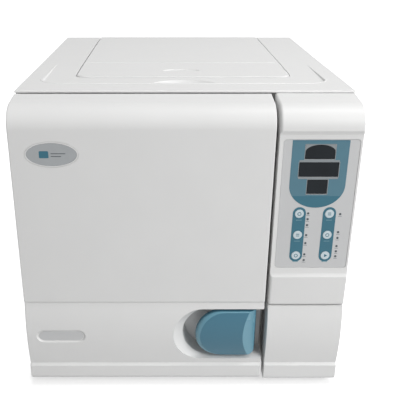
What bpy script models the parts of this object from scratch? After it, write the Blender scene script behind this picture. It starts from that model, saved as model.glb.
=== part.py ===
"""Benchtop steam autoclave with a side-hinged door, in metres, +Z up.

Places are written from the datum: x from the middle of the cabinet, y back from the flat
face of the door, z up from the table. The datum empty stands half the depth in front of the
part's own origin, and every piece hangs from it or from the axis that it turns on.
"""

import math

import bmesh
import bpy
from mathutils import Vector

MM = 0.001

# Clearances
SEAT = 0.3 * MM
RUN = 1.5 * MM

# Pressure chamber, heater band and insulation
BORE_RADIUS = 124 * MM
CHAMBER_WALL = 3 * MM
CHAMBER_DEPTH = 470 * MM
END_WALL = 5 * MM
FLANGE_RADIUS = 150 * MM
FLANGE_DEPTH = 14 * MM
HEATER_WALL = 4 * MM
HEATER_LENGTH = 100 * MM
HEATER_SETBACK = 180 * MM
JACKET_WALL = 15.4 * MM
JACKET_END_GAP = 4 * MM
CRADLE_PLATE = 6 * MM
CRADLE_HALF_WIDTH = 110 * MM
CRADLE_HEIGHT = 55 * MM
CRADLE_SPACING = 300 * MM
CRADLE_SETBACK = 90 * MM
RAIL_WIDTH = 16 * MM

# Rack and trays inside the chamber
RACK_HALF_WIDTH = 92 * MM
RACK_PLATE = 1.5 * MM
RACK_LENGTH = 432 * MM
RACK_SETBACK = 18 * MM
RUNNER_WIDTH = 6 * MM
RUNNER_HEIGHT = 2 * MM
TRAY_PITCH = 54 * MM
TRAY_HEIGHT = 14 * MM
TRAY_END_HEIGHT = 3 * MM
TRAY_WALL = 1.2 * MM
TRAY_SIDE_GAP = 0.8 * MM
TRAY_END_GAP = 6 * MM

# Cabinet
SHEET = 1.3 * MM
BULKHEAD_SHEET = 2 * MM
PAN_SHEET = 2 * MM
PAN_FLANGE = 30 * MM
SIDE_CLEAR = 28.9 * MM
BAY_WIDTH = 147.9 * MM
JACKET_LIFT = 73 * MM
REAR_SPACE = 32.4 * MM
FOOT_RADIUS = 18 * MM
FOOT_HEIGHT = 10 * MM
FOOT_INSET = 42 * MM
VENT_COUNT = 9
VENT_LENGTH = 70 * MM
VENT_WIDTH = 5 * MM
VENT_PITCH = 12 * MM

# Top cover, water tank and tank lid
COVER_WALL = 3 * MM
ROOF = 8 * MM
COVER_SKIRT = 34 * MM
COVER_FRONT_SKIRT = 11 * MM
COVER_EDGE = 2.5 * MM
TOP_RECESS = 3 * MM
TOP_RIM = 27 * MM
TOP_FRONT_RIM = 46 * MM
TOP_CORNER = 25 * MM
LID_HALF_WIDTH = 167 * MM
LID_SETBACK = 97 * MM
LID_CORNER = 14 * MM
LID_ROD_RADIUS = 2.5 * MM
LID_ROD_INSET = 10 * MM
LID_ROD_DROP = 6 * MM
LID_LUG_WIDTH = 12 * MM
LID_LUG_RADIUS = 5.5 * MM
LID_LUG_SPACING = 240 * MM
SCOOP_HALF_WIDTH = 49 * MM
SCOOP_LENGTH = 23 * MM
SCOOP_DEPTH = 9 * MM
SCOOP_WALL = 3 * MM
TANK_GAP = 5 * MM
TANK_DEPTH = 67.7 * MM
TANK_WALL = 2.5 * MM
TANK_RIM = 16 * MM
TANK_SETBACK = 26 * MM
TANK_REAR_GAP = 26 * MM
TANK_DIVIDE = 40 * MM

# Fascia shared by the door and the control column
FASCIA_WALL = 3 * MM
ROLL_RADIUS = 33 * MM
LAND_BELOW_TOP = 4 * MM
LAND_DROP = 3.5 * MM
BAND_TOP = 150.5 * MM
BAND_STEP = 2 * MM
BAND_BULGE = 6 * MM
CREASE = 42 * MM
STRIP_PROUD = 1.5 * MM
STRIP_TOP = 38.5 * MM
BOTTOM_ROUND = 6.5 * MM

# Door
DOOR_GAP = 5 * MM
DOOR_DEPTH = 60 * MM
DOOR_REAR_GAP = 6 * MM
DOOR_BOTTOM = 15.5 * MM
DOOR_BACK_SHEET = 1.7 * MM
PLATE_RADIUS = 138 * MM
PLATE_THICKNESS = 10 * MM
PLATE_HUB_RADIUS = 30 * MM
PLATE_HUB = 6 * MM
PLATE_HOLE_GAP = 3 * MM
GASKET_WIDTH = 9 * MM
GASKET_INSET = 2 * MM
BEAM_WEB = 8 * MM
BEAM_HEIGHT = 60 * MM
BEAM_FOOT = 18 * MM
BADGE_X = -182 * MM
BADGE_BELOW_TOP = 73.5 * MM
BADGE_HALF_WIDTH = 36.5 * MM
BADGE_HALF_HEIGHT = 18 * MM
BADGE_SHEET = 1 * MM
BADGE_RECESS = 1 * MM
PILL_X = -187.8 * MM
PILL_Z = 93 * MM
PILL_LENGTH = 73.5 * MM
PILL_HEIGHT = 23.5 * MM
PILL_DEPTH = 2.5 * MM

# Door hinge
HINGE_INSET = 6 * MM
HINGE_FORWARD = 2.5 * MM
KNUCKLE_RADIUS = 5.5 * MM
PIN_RADIUS = 3 * MM
DOOR_KNUCKLE = 139 * MM
FRAME_KNUCKLE = 40 * MM
KNUCKLE_GAP = 0.6 * MM
LEAF_WIDTH = 28 * MM
LEAF_SHEET = 2 * MM
HINGE_SWEEP = 10 * MM

# Handle, shaft and latch
HANDLE_LENGTH = 95 * MM
HANDLE_HEIGHT = 78 * MM
HANDLE_FROM_EDGE = 8.5 * MM
HANDLE_Z = 98 * MM
HANDLE_CROWN = 9 * MM
HANDLE_EDGE = 2 * MM
HANDLE_BACK = 10 * MM
HANDLE_CORNER = 7 * MM
FACET_LENGTH = 20 * MM
FACET_DEPTH = 14 * MM
HANDLE_HUB_RADIUS = 9 * MM
SHAFT_RADIUS = 4 * MM
SHAFT_FROM_END = 10 * MM
SHAFT_Y = 16 * MM
POCKET_HEIGHT = 90 * MM
POCKET_DROP = 2 * MM
POCKET_LEAD = 33.5 * MM
POCKET_BEVEL = 8 * MM
POCKET_RAMP = 22 * MM
POCKET_DRAW = 2 * MM
POCKET_DEPTH = 36 * MM
HOOK_Z = 28 * MM
HOOK_THICKNESS = 10 * MM
HOOK_RADIUS = 8 * MM
HOOK_WIDTH = 11 * MM
HOOK_NOSE = 4 * MM
HOOK_REACH = 8 * MM
HOOK_SWING = math.radians(25)

# Control column, membrane, display and keys
COLUMN_WIDTH = 113.5 * MM
PANEL_RECESS = 3 * MM
BROW_HEIGHT = 7 * MM
LEDGE_Z = 202 * MM
LEDGE_HEIGHT = 6 * MM
COLUMN_BOTTOM = 147.5 * MM
MEMBRANE_WIDTH = 103.8 * MM
MEMBRANE_HEIGHT = 196 * MM
MEMBRANE_BELOW_BROW = 6 * MM
MEMBRANE_SHEET = 1 * MM
MEMBRANE_CORNER = 4 * MM
MEMBRANE_FROM_GAP = 6.3 * MM
GRAPHIC_SHIFT = 1.3 * MM
LENS_SHEET = 2.6 * MM
LENS_MARGIN = 4 * MM
WINDOW_CORNER = 4 * MM
WINDOW_SIZES = ((41 * MM, 21 * MM), (55 * MM, 21.5 * MM), (28.5 * MM, 21.5 * MM))
WINDOW_PITCH = 25.5 * MM
FIRST_WINDOW = 17.5 * MM
KEY_RADIUS = 6.35 * MM
KEY_PROUD = 0.9 * MM
KEY_DEPTH = 6.5 * MM
KEY_SPREAD = 42.7 * MM
KEY_PITCH = 33.2 * MM
FIRST_KEY = 109.4 * MM

# Service door and bay in the foot of the column
FLAP_TOP_GAP = 1.5 * MM
FLAP_BOTTOM = 11.5 * MM
FLAP_DEPTH = 22 * MM
FLAP_WALL = 3 * MM
FLAP_PIVOT_INSET = 7 * MM
FLAP_PIVOT_RADIUS = 2.5 * MM
FLAP_PIVOT_LENGTH = 2.8 * MM
BAY_FRONT_GAP = 5 * MM
BAY_WALL = 2.5 * MM
TONGUE_WIDTH = 14 * MM
TONGUE_SHEET = 3 * MM
FILTER_RADIUS = 23 * MM
FILTER_LENGTH = 28 * MM
PORT_RADIUS = 9 * MM
PORT_STEM_RADIUS = 6 * MM
PORT_LENGTH = 24 * MM
PORT_COLLAR = 8 * MM
PORT_SPACING = 38 * MM
PORT_HEIGHT = 30 * MM

# Lock
BOLT_RADIUS = 4 * MM
BOLT_LENGTH = 38 * MM
BOLT_Z = 182 * MM
BOLT_Y = 32 * MM
SOLENOID_SIZE = 24 * MM
SOLENOID_LENGTH = 32 * MM

# Machinery in the bay beside the chamber
BAY_SIDE_GAP = 20 * MM
GENERATOR_RADIUS = 42 * MM
GENERATOR_HEIGHT = 170 * MM
GENERATOR_Y = 185 * MM
VALVE_Y = 235 * MM
VALVE_LENGTH = 50 * MM
VALVE_HEIGHT = 46 * MM
COIL_RADIUS = 14 * MM
COIL_HEIGHT = 40 * MM
COIL_COUNT = 3
PUMP_GAP = 15 * MM
PUMP_LENGTH = 150 * MM
PUMP_HEIGHT = 84 * MM
PUMP_MOTOR_RADIUS = 38 * MM
PUMP_MOTOR_HEIGHT = 46 * MM
CONDENSER_REAR_GAP = 37.4 * MM
CONDENSER_LENGTH = 36 * MM
CONDENSER_HEIGHT = 165 * MM
FIN_COUNT = 8
FIN_GAP = 6 * MM
FIN_DEPTH = 8 * MM
BOARD_LENGTH = 260 * MM
BOARD_HEIGHT = 150 * MM
BOARD_SHEET = 2 * MM
BOARD_Y = 130 * MM
BOARD_Z = 235 * MM
FAN_SIZE = 110 * MM
FAN_CORNER = 5 * MM
FAN_DEPTH = 25 * MM
FAN_Z = 262 * MM
FAN_BORE = 51 * MM
FAN_HUB_RADIUS = 17 * MM
FAN_HUB = 13 * MM
FAN_BLADES = 7
BLADE_SHEET = 2.5 * MM
BLADE_TWIST = math.radians(35)
GUARD_RADIUS = 57 * MM
GUARD_SHEET = 2 * MM
GUARD_SLOTS = 14
INLET_WIDTH = 46 * MM
INLET_HEIGHT = 60 * MM
INLET_FLANGE = 4 * MM
INLET_DEPTH = 26 * MM
INLET_Z = 84 * MM
SOCKET_WIDTH = 25 * MM
SOCKET_HEIGHT = 17 * MM
SOCKET_DEPTH = 16 * MM
ROCKER_WIDTH = 21 * MM
ROCKER_RADIUS = 9 * MM
VALVE_BODY_RADIUS = 14 * MM
VALVE_RISE = 70 * MM
VALVE_PROUD = 9 * MM

# Places worked out from the sizes above
JACKET_INNER = BORE_RADIUS + CHAMBER_WALL + SEAT + HEATER_WALL + SEAT
JACKET_RADIUS = JACKET_INNER + JACKET_WALL
INSIDE_HALF = (SIDE_CLEAR + 2 * JACKET_RADIUS + BAY_WIDTH) / 2
PANEL_OUTER = INSIDE_HALF + SHEET
HALF_WIDTH = PANEL_OUTER + SEAT + COVER_WALL
CHAMBER_X = -INSIDE_HALF + SIDE_CLEAR + JACKET_RADIUS
PAN_TOP = FOOT_HEIGHT + PAN_SHEET
CHAMBER_Z = PAN_TOP + JACKET_LIFT + JACKET_RADIUS
TANK_BOTTOM = CHAMBER_Z + JACKET_RADIUS + TANK_GAP
TANK_TOP = TANK_BOTTOM + TANK_DEPTH
HEIGHT = TANK_TOP + SEAT + ROOF
BULKHEAD_Y = DOOR_DEPTH + DOOR_REAR_GAP
BULKHEAD_BACK = BULKHEAD_Y + BULKHEAD_SHEET
CHAMBER_END = BULKHEAD_Y + CHAMBER_DEPTH + END_WALL
REAR_Y = CHAMBER_END + REAR_SPACE
REAR_OUTER = REAR_Y + SHEET
BODY_DEPTH = REAR_OUTER + SEAT + COVER_WALL
COVER_FRONT = BULKHEAD_Y + RUN
COLUMN_LEFT = HALF_WIDTH - COLUMN_WIDTH
DOOR_LEFT = -HALF_WIDTH
DOOR_RIGHT = COLUMN_LEFT - DOOR_GAP
LAND_BACK = HEIGHT - LAND_BELOW_TOP
LAND_FRONT = LAND_BACK - LAND_DROP
ROLL_END = LAND_FRONT - ROLL_RADIUS
ROOF_UNDERSIDE = HEIGHT - ROOF
LID_TOP = HEIGHT - TOP_RECESS
LID_FRONT = COVER_FRONT + LID_SETBACK
LID_ROD_Y = BODY_DEPTH - LID_ROD_INSET
LID_ROD_Z = ROOF_UNDERSIDE - LID_ROD_DROP
LID_NOTCH = LID_ROD_Z - LID_ROD_INSET - LID_ROD_DROP
TANK_FRONT = LID_FRONT + TANK_SETBACK
TANK_BACK = BODY_DEPTH - TANK_REAR_GAP
TANK_HALF = LID_HALF_WIDTH + RUN + TANK_RIM / 2 - TANK_RIM
HINGE_X = DOOR_LEFT + HINGE_INSET
HINGE_Y = DOOR_DEPTH - HINGE_FORWARD
BACK_SHEET_OUTER = DOOR_DEPTH - SEAT
BACK_SHEET_INNER = BACK_SHEET_OUTER - DOOR_BACK_SHEET
PLATE_BACK = DOOR_DEPTH
GASKET_RADIUS = PLATE_RADIUS - GASKET_INSET
BEAM_BACK = PLATE_BACK - PLATE_THICKNESS - PLATE_HUB - SEAT
HANDLE_RIGHT = DOOR_RIGHT - HANDLE_FROM_EDGE
HANDLE_LEFT = HANDLE_RIGHT - HANDLE_LENGTH
SHAFT_X = HANDLE_RIGHT - SHAFT_FROM_END
POCKET_Z = HANDLE_Z - POCKET_DROP
BROW = ROLL_END - BROW_HEIGHT
FLAP_TOP = COLUMN_BOTTOM - FLAP_TOP_GAP
FLAP_PIVOT_X = HALF_WIDTH - FLAP_PIVOT_INSET
FLAP_PIVOT_Y = FLAP_DEPTH - FLAP_PIVOT_INSET
BAY_FRONT = FLAP_DEPTH + BAY_FRONT_GAP
BAY_BACK = BULKHEAD_Y - SEAT
BAY_LEFT_X = CHAMBER_X + JACKET_RADIUS
BAY_X = (BAY_LEFT_X + INSIDE_HALF) / 2
BAY_HALF = BAY_WIDTH / 2 - BAY_SIDE_GAP
PUMP_Y = VALVE_Y + VALVE_LENGTH + PUMP_GAP
CONDENSER_Y = REAR_Y - CONDENSER_REAR_GAP - CONDENSER_LENGTH
MEMBRANE_X = COLUMN_LEFT + MEMBRANE_FROM_GAP + MEMBRANE_WIDTH / 2
GRAPHIC_X = MEMBRANE_X - GRAPHIC_SHIFT
MEMBRANE_TOP = BROW - MEMBRANE_BELOW_BROW
MEMBRANE_BACK = PANEL_RECESS - SEAT
MEMBRANE_FACE = MEMBRANE_BACK - MEMBRANE_SHEET

# Planes for flat outlines: across the front, along the side and in plan
FRONT_PLANE = (math.pi / 2, 0, 0)
SIDE_PLANE = (math.pi / 2, 0, math.pi / 2)
PLAN = (0, 0, 0)
AXIS_ALONG_Y = (-math.pi / 2, 0, 0)

# Colour, roughness and metallic value of each finish
FINISHES = {
    "white_plastic": ((0.78, 0.78, 0.77), 0.42, 0.0),
    "teal_plastic": ((0.085, 0.185, 0.245), 0.4, 0.0),
    "membrane_film": ((0.55, 0.57, 0.575), 0.35, 0.0),
    "smoked_window": ((0.02, 0.023, 0.027), 0.15, 0.0),
    "key_film": ((0.62, 0.66, 0.68), 0.35, 0.0),
    "badge_silver": ((0.48, 0.5, 0.51), 0.3, 0.6),
    "painted_steel": ((0.72, 0.72, 0.71), 0.45, 0.1),
    "stainless_steel": ((0.56, 0.56, 0.55), 0.28, 1.0),
    "zinc_steel": ((0.45, 0.46, 0.47), 0.4, 0.9),
    "insulation_foil": ((0.62, 0.62, 0.6), 0.5, 0.4),
    "silicone_rubber": ((0.7, 0.68, 0.62), 0.6, 0.0),
    "black_rubber": ((0.03, 0.03, 0.03), 0.8, 0.0),
    "tank_plastic": ((0.68, 0.71, 0.72), 0.4, 0.0),
    "dark_plastic": ((0.03, 0.03, 0.032), 0.45, 0.0),
    "brass_fitting": ((0.6, 0.42, 0.16), 0.3, 1.0),
    "board_green": ((0.03, 0.16, 0.07), 0.5, 0.0),
    "motor_grey": ((0.2, 0.21, 0.22), 0.5, 0.2),
}


def clear_scene():
    for old in list(bpy.data.objects):
        bpy.data.objects.remove(old)


def new_collection(name):
    collection = bpy.data.collections.new(name)
    bpy.context.scene.collection.children.link(collection)
    return collection


def new_axis(name, location, parent=None):
    axis = bpy.data.objects.new(name, None)
    axis.location = location
    axis.parent = parent
    parts.objects.link(axis)
    return axis


def finish(name):
    """The shared material of one finish, made the first time it is asked for."""
    material = bpy.data.materials.get(name)
    if material is None:
        colour, roughness, metallic = FINISHES[name]
        material = bpy.data.materials.new(name)
        material.use_nodes = True
        shader = material.node_tree.nodes["Principled BSDF"]
        shader.inputs["Base Color"].default_value = (*colour, 1)
        shader.inputs["Roughness"].default_value = roughness
        shader.inputs["Metallic"].default_value = metallic
    return material


def place(name, data, location, rotation=PLAN):
    piece = bpy.data.objects.new(name, data)
    piece.location = location
    piece.rotation_euler = rotation
    piece.parent = datum
    parts.objects.link(piece)
    return piece


def coat(piece, finish_name, axis=None):
    """Give a finished piece its material and, if it moves, hang it from its axis."""
    piece.data.materials.append(finish(finish_name))
    if axis is not None:
        piece.location = Vector(piece.location) - Vector(axis.location)
        piece.parent = axis
    return piece


def box(name, low, high):
    """A box between two opposite corners."""
    low = Vector(low)
    high = Vector(high)
    mesh = bpy.data.meshes.new(name)
    shape = bmesh.new()
    bmesh.ops.create_cube(shape, size=1)
    bmesh.ops.scale(shape, vec=high - low, verts=shape.verts)
    shape.to_mesh(mesh)
    shape.free()
    return place(name, mesh, (low + high) / 2)


def rod(name, radius, start, end, segments=32):
    """A cylinder from one point to another."""
    start = Vector(start)
    end = Vector(end)
    mesh = bpy.data.meshes.new(name)
    shape = bmesh.new()
    bmesh.ops.create_cone(shape, cap_ends=True, segments=segments, radius1=radius,
                          radius2=radius, depth=(end - start).length)
    shape.to_mesh(mesh)
    shape.free()
    mesh.shade_smooth()
    mesh.set_sharp_from_angle(angle=math.radians(40))
    turn = (end - start).to_track_quat("Z", "Y").to_euler()
    return place(name, mesh, (start + end) / 2, turn)


def turned(name, profile, x, z, closed=False, steps=48):
    """A shape turned about an axis along y; the profile holds (radius, y) from back to front."""
    mesh = bpy.data.meshes.new(name)
    count = len(profile)
    edges = [(i, i + 1) for i in range(count - 1)]
    if closed:
        edges.append((count - 1, 0))
    mesh.from_pydata([(radius, 0, along) for radius, along in profile], edges, [])
    piece = place(name, mesh, (x, 0, z), AXIS_ALONG_Y)
    screw = piece.modifiers.new("turn", "SCREW")
    screw.steps = steps
    screw.render_steps = steps
    screw.use_merge_vertices = True
    screw.merge_threshold = 0.00001
    return piece


def slab(name, loops, low, high, plane):
    """Flat outlines, the first round the outside, thickened from low to high across the plane."""
    curve = bpy.data.curves.new(name + "_outline", "CURVE")
    curve.dimensions = "2D"
    curve.fill_mode = "BOTH"
    curve.extrude = (high - low) / 2
    for loop in loops:
        spline = curve.splines.new("POLY")
        spline.points.add(len(loop) - 1)
        for point, (across, up) in zip(spline.points, loop):
            point.co = (across, up, 0, 1)
        spline.use_cyclic_u = True
    middle = (low + high) / 2
    location = {FRONT_PLANE: (0, middle, 0), SIDE_PLANE: (middle, 0, 0), PLAN: (0, 0, middle)}[plane]
    drawn = place(name + "_outline", curve, location, plane)
    bpy.context.view_layer.update()
    evaluated = drawn.evaluated_get(bpy.context.evaluated_depsgraph_get())
    mesh = bpy.data.meshes.new_from_object(evaluated)
    mesh.name = name
    bpy.data.objects.remove(drawn)
    shape = bmesh.new()
    shape.from_mesh(mesh)
    bmesh.ops.remove_doubles(shape, verts=shape.verts, dist=0.000001)
    bmesh.ops.recalc_face_normals(shape, faces=shape.faces)
    shape.to_mesh(mesh)
    shape.free()
    mesh.shade_smooth()
    mesh.set_sharp_from_angle(angle=math.radians(30))
    return place(name, mesh, location, plane)


def loft(name, sections):
    """A closed solid through outlines that have the same number of points."""
    mesh = bpy.data.meshes.new(name)
    shape = bmesh.new()
    rings = [[shape.verts.new(point) for point in section] for section in sections]
    count = len(rings[0])
    for near, far in zip(rings, rings[1:]):
        for i in range(count):
            following = (i + 1) % count
            shape.faces.new((near[i], near[following], far[following], far[i]))
    shape.faces.new(rings[0])
    shape.faces.new(rings[-1])
    bmesh.ops.recalc_face_normals(shape, faces=shape.faces)
    shape.to_mesh(mesh)
    shape.free()
    return place(name, mesh, (0, 0, 0))


def combine(target, tool, operation):
    """Boolean the tool into the target and put it among the cutters."""
    modifier = target.modifiers.new(tool.name, "BOOLEAN")
    modifier.operation = operation
    modifier.object = tool
    modifier.solver = "EXACT"
    if tool.name not in cutters.objects:
        cutters.objects.link(tool)
        parts.objects.unlink(tool)
    tool.hide_render = True
    tool.display_type = "WIRE"


def cut(target, *tools):
    for tool in tools:
        combine(target, tool, "DIFFERENCE")


def join(target, *tools):
    for tool in tools:
        combine(target, tool, "UNION")


def round_edges(piece, width, segments=2):
    bevel = piece.modifiers.new("round_edges", "BEVEL")
    bevel.width = width
    bevel.segments = segments
    bevel.limit_method = "ANGLE"


def arc(across, up, radius, start, end, steps=8):
    """Points along an arc; angles in degrees, counted from +across towards +up."""
    points = []
    for i in range(steps + 1):
        angle = math.radians(start + (end - start) * i / steps)
        points.append((across + radius * math.cos(angle), up + radius * math.sin(angle)))
    return points


def bulge(lower, upper, rise, steps=8):
    """Points from upper to lower on an arc that bows forward by the given rise."""
    half = (upper[1] - lower[1]) / 2
    radius = (half * half + rise * rise) / (2 * rise)
    reach = math.asin(half / radius)
    middle_up = (upper[1] + lower[1]) / 2
    points = []
    for i in range(steps + 1):
        angle = reach - 2 * reach * i / steps
        lean = lower[0] + (upper[0] - lower[0]) * (1 - i / steps)
        depth = lean + (radius - rise) - radius * math.cos(angle)
        points.append((depth, middle_up + radius * math.sin(angle)))
    return points


def rectangle(across, up, width, height, corner=0.0, steps=4):
    """A rectangle about a centre, with rounded corners if a radius is given."""
    half_w = width / 2
    half_h = height / 2
    if corner == 0:
        return [(across + half_w * i, up + half_h * j)
                for i, j in ((1, 1), (-1, 1), (-1, -1), (1, -1))]
    points = []
    for i, j, start in ((1, 1, 0), (-1, 1, 90), (-1, -1, 180), (1, -1, 270)):
        points += arc(across + i * (half_w - corner), up + j * (half_h - corner), corner,
                      start, start + 90, steps)
    return points


def circle(across, up, radius, steps=32):
    return arc(across, up, radius, 0, 360, steps)[:-1]


def fascia_roll(back):
    """The rolled top edge, from its back edge over and down to the flat face."""
    points = [(back, LAND_BACK)]
    return points + arc(ROLL_RADIUS, ROLL_END, ROLL_RADIUS, 90, 180, 10)


def foot_band(top, bottom):
    """The bowed lower band, the crease under it and the strip down to the rounded foot."""
    points = bulge((BAND_STEP, CREASE), (BAND_STEP, top), BAND_BULGE)
    points.append((-STRIP_PROUD, STRIP_TOP))
    return points + arc(BOTTOM_ROUND - STRIP_PROUD, bottom + BOTTOM_ROUND, BOTTOM_ROUND, 180, 270, 4)


def build_base():
    """The sheet-metal pan and the four feet under it."""
    half = INSIDE_HALF - SEAT
    front = BULKHEAD_BACK + SEAT
    back = REAR_Y - SEAT
    pan = box("base_pan", (-half, front, FOOT_HEIGHT), (half, back, FOOT_HEIGHT + PAN_FLANGE))
    cut(pan, box("pan_inside", (-half + PAN_SHEET, front - PAN_SHEET, PAN_TOP),
                 (half - PAN_SHEET, back - PAN_SHEET, FOOT_HEIGHT + 2 * PAN_FLANGE)))
    coat(pan, "zinc_steel")
    for side, x in (("left", -half + FOOT_INSET), ("right", half - FOOT_INSET)):
        for end, y in (("front", front + FOOT_INSET), ("rear", back - FOOT_INSET)):
            foot = rod(f"foot_{end}_{side}", FOOT_RADIUS, (x, y, 0), (x, y, FOOT_HEIGHT - SEAT))
            coat(foot, "black_rubber")


def build_side_panels():
    """The two side sheets, each with a row of vent slots."""
    middle = (BULKHEAD_Y + REAR_OUTER) / 2
    low = FOOT_HEIGHT
    high = ROOF_UNDERSIDE - SEAT
    step_y = COVER_FRONT + COVER_WALL + SEAT
    step_z = ROOF_UNDERSIDE - COVER_FRONT_SKIRT - SEAT
    sheet = [(BULKHEAD_Y, low), (REAR_OUTER, low), (REAR_OUTER, high), (step_y, high), (step_y, step_z),
             (BULKHEAD_Y, step_z)]
    first = middle - VENT_PITCH * (VENT_COUNT - 1) / 2
    vents = [rectangle(first + VENT_PITCH * i, CHAMBER_Z, VENT_WIDTH, VENT_LENGTH)
             for i in range(VENT_COUNT)]
    for name, inner, outer in (("left_side_panel", -PANEL_OUTER, -INSIDE_HALF),
                               ("right_side_panel", INSIDE_HALF, PANEL_OUTER)):
        coat(slab(name, [sheet, *vents], inner, outer, SIDE_PLANE), "painted_steel")


def build_bulkhead():
    """The front wall of the cabinet, holed for the chamber mouth and the latch hook."""
    half = INSIDE_HALF - SEAT
    high = ROOF_UNDERSIDE - COVER_FRONT_SKIRT - SEAT
    sheet = [(-half, PAN_TOP), (half, PAN_TOP), (half, high), (-half, high)]
    mouth = circle(CHAMBER_X, CHAMBER_Z, FLANGE_RADIUS + SEAT, 48)
    loops = [sheet, mouth, hook_slot(BULKHEAD_BACK)]
    coat(slab("front_bulkhead", loops, BULKHEAD_Y, BULKHEAD_BACK, FRONT_PLANE), "stainless_steel")


def hook_slot(y):
    """The slot that the latch hook sweeps in a sheet whose back face lies at y."""
    sweep = (y - SHAFT_Y) * math.tan(HOOK_SWING) + HOOK_WIDTH
    left = SHAFT_X - sweep
    right = SHAFT_X + HOOK_WIDTH / 2 + HOOK_NOSE + RUN
    low = HOOK_Z - RUN
    high = HOOK_Z + HOOK_THICKNESS + RUN
    return [(left, low), (right, low), (right, high), (left, high)]


def build_rear_panel():
    """The rear sheet, holed for the fan, the mains inlet and the safety valve."""
    half = INSIDE_HALF - SEAT
    high = LID_NOTCH - SEAT
    sheet = [(-half, FOOT_HEIGHT), (half, FOOT_HEIGHT), (half, high), (-half, high)]
    inlet = rectangle(BAY_X, INLET_Z, INLET_WIDTH + 2 * SEAT, INLET_HEIGHT + 2 * SEAT)
    valve = circle(CHAMBER_X, CHAMBER_Z + VALVE_RISE, VALVE_BODY_RADIUS + SEAT, 24)
    loops = [sheet, circle(BAY_X, FAN_Z, FAN_BORE), inlet, valve]
    coat(slab("rear_panel", loops, REAR_Y, REAR_OUTER, FRONT_PLANE), "painted_steel")


def scoop_shape(name, grow):
    """The arched finger dish in front of the lid, or the pad of plastic round it."""
    mesh = bpy.data.meshes.new(name)
    shape = bmesh.new()
    bmesh.ops.create_uvsphere(shape, u_segments=32, v_segments=12, radius=1)
    everything = [*shape.verts, *shape.edges, *shape.faces]
    bmesh.ops.bisect_plane(shape, geom=everything, plane_co=(0, 0, 0), plane_no=(0, 1, 0),
                           clear_inner=True)
    rim = [edge for edge in shape.edges if edge.is_boundary]
    bmesh.ops.contextual_create(shape, geom=rim)
    size = (SCOOP_HALF_WIDTH + grow, SCOOP_LENGTH + grow, SCOOP_DEPTH + grow)
    bmesh.ops.scale(shape, vec=size, verts=shape.verts)
    bmesh.ops.recalc_face_normals(shape, faces=shape.faces)
    shape.to_mesh(mesh)
    shape.free()
    return place(name, mesh, (0, COVER_FRONT + TOP_FRONT_RIM + RUN - grow, HEIGHT))


def build_top_cover():
    """The moulded top: a skirted roof with a shallow recess, the lid opening and a finger dish."""
    half = HALF_WIDTH
    low = ROOF_UNDERSIDE - COVER_SKIRT
    cover = box("top_cover", (-half, COVER_FRONT, low), (half, BODY_DEPTH, HEIGHT))
    round_edges(cover, COVER_EDGE)
    inside = box("cover_inside", (COVER_WALL - half, COVER_FRONT + COVER_WALL, low - ROOF),
                 (half - COVER_WALL, BODY_DEPTH - COVER_WALL, ROOF_UNDERSIDE))
    cut(inside, scoop_shape("scoop_pad", SCOOP_WALL))
    opening_half = LID_HALF_WIDTH + RUN
    lug_near = opening_half + RUN
    lug_far = lug_near + LID_LUG_WIDTH
    lug_low = LID_ROD_Z - LID_LUG_RADIUS
    for side, start, end in (("left", -lug_far, -lug_near), ("right", lug_near, lug_far)):
        lug = box(f"{side}_rod_lug", (start, LID_ROD_Y - LID_LUG_RADIUS, lug_low),
                  (end, LID_ROD_Y + LID_LUG_RADIUS, HEIGHT))
        cut(inside, lug)
    recess = rectangle(0, BODY_DEPTH, 2 * (half - TOP_RIM),
                       2 * (BODY_DEPTH - COVER_FRONT - TOP_FRONT_RIM), TOP_CORNER, 6)
    opening = rectangle(0, BODY_DEPTH, 2 * opening_half, 2 * (BODY_DEPTH - LID_FRONT + RUN),
                        LID_CORNER + RUN, 5)
    reach = lug_near + LID_LUG_WIDTH / 2
    rod_line = (LID_ROD_Y, LID_ROD_Z)
    cut(cover, inside,
        box("front_skirt_trim", (-WIDE, 0, 0), (WIDE, COVER_FRONT + COVER_WALL + RUN,
                                                ROOF_UNDERSIDE - COVER_FRONT_SKIRT)),
        slab("top_recess", [recess], LID_TOP, HEIGHT + ROOF, PLAN),
        slab("lid_opening", [opening], LID_NOTCH, HEIGHT + ROOF, PLAN),
        scoop_shape("scoop_dish", 0),
        rod("rod_bore", LID_ROD_RADIUS + SEAT, (-reach - SEAT, *rod_line), (reach + SEAT, *rod_line), 16))
    coat(cover, "white_plastic")
    hinge_rod = rod("lid_hinge_rod", LID_ROD_RADIUS, (-reach, *rod_line), (reach, *rod_line), 16)
    coat(hinge_rod, "stainless_steel")


def build_lid():
    """The tank lid, a flat plate with two lugs that turn on the hinge rod."""
    back = BODY_DEPTH - RUN
    plate = rectangle(0, back, 2 * LID_HALF_WIDTH, 2 * (back - LID_FRONT), LID_CORNER, 5)
    lid = slab("tank_lid", [plate], ROOF_UNDERSIDE, LID_TOP, PLAN)
    cut(lid, box("lid_back_trim", (-WIDE, back, 0), (WIDE, back + WIDE, WIDE)))
    join(lid, box("lid_flange", (RUN - LID_HALF_WIDTH, back - COVER_WALL, LID_NOTCH + RUN),
                  (LID_HALF_WIDTH - RUN, back - SEAT, LID_TOP - SEAT)))
    for side, middle in (("left", -LID_LUG_SPACING / 2), ("right", LID_LUG_SPACING / 2)):
        low = (middle - LID_LUG_WIDTH / 2, LID_ROD_Y - LID_LUG_RADIUS, LID_ROD_Z - LID_LUG_RADIUS)
        high = (middle + LID_LUG_WIDTH / 2, LID_ROD_Y + LID_LUG_RADIUS, LID_TOP - RUN)
        join(lid, box(f"{side}_lid_lug", low, high))
    line = (LID_ROD_Y, LID_ROD_Z)
    cut(lid, rod("lid_bore", LID_ROD_RADIUS + SEAT, (-LID_LUG_SPACING, *line),
                 (LID_LUG_SPACING, *line), 16))
    coat(lid, "white_plastic", lid_axis)


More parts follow.
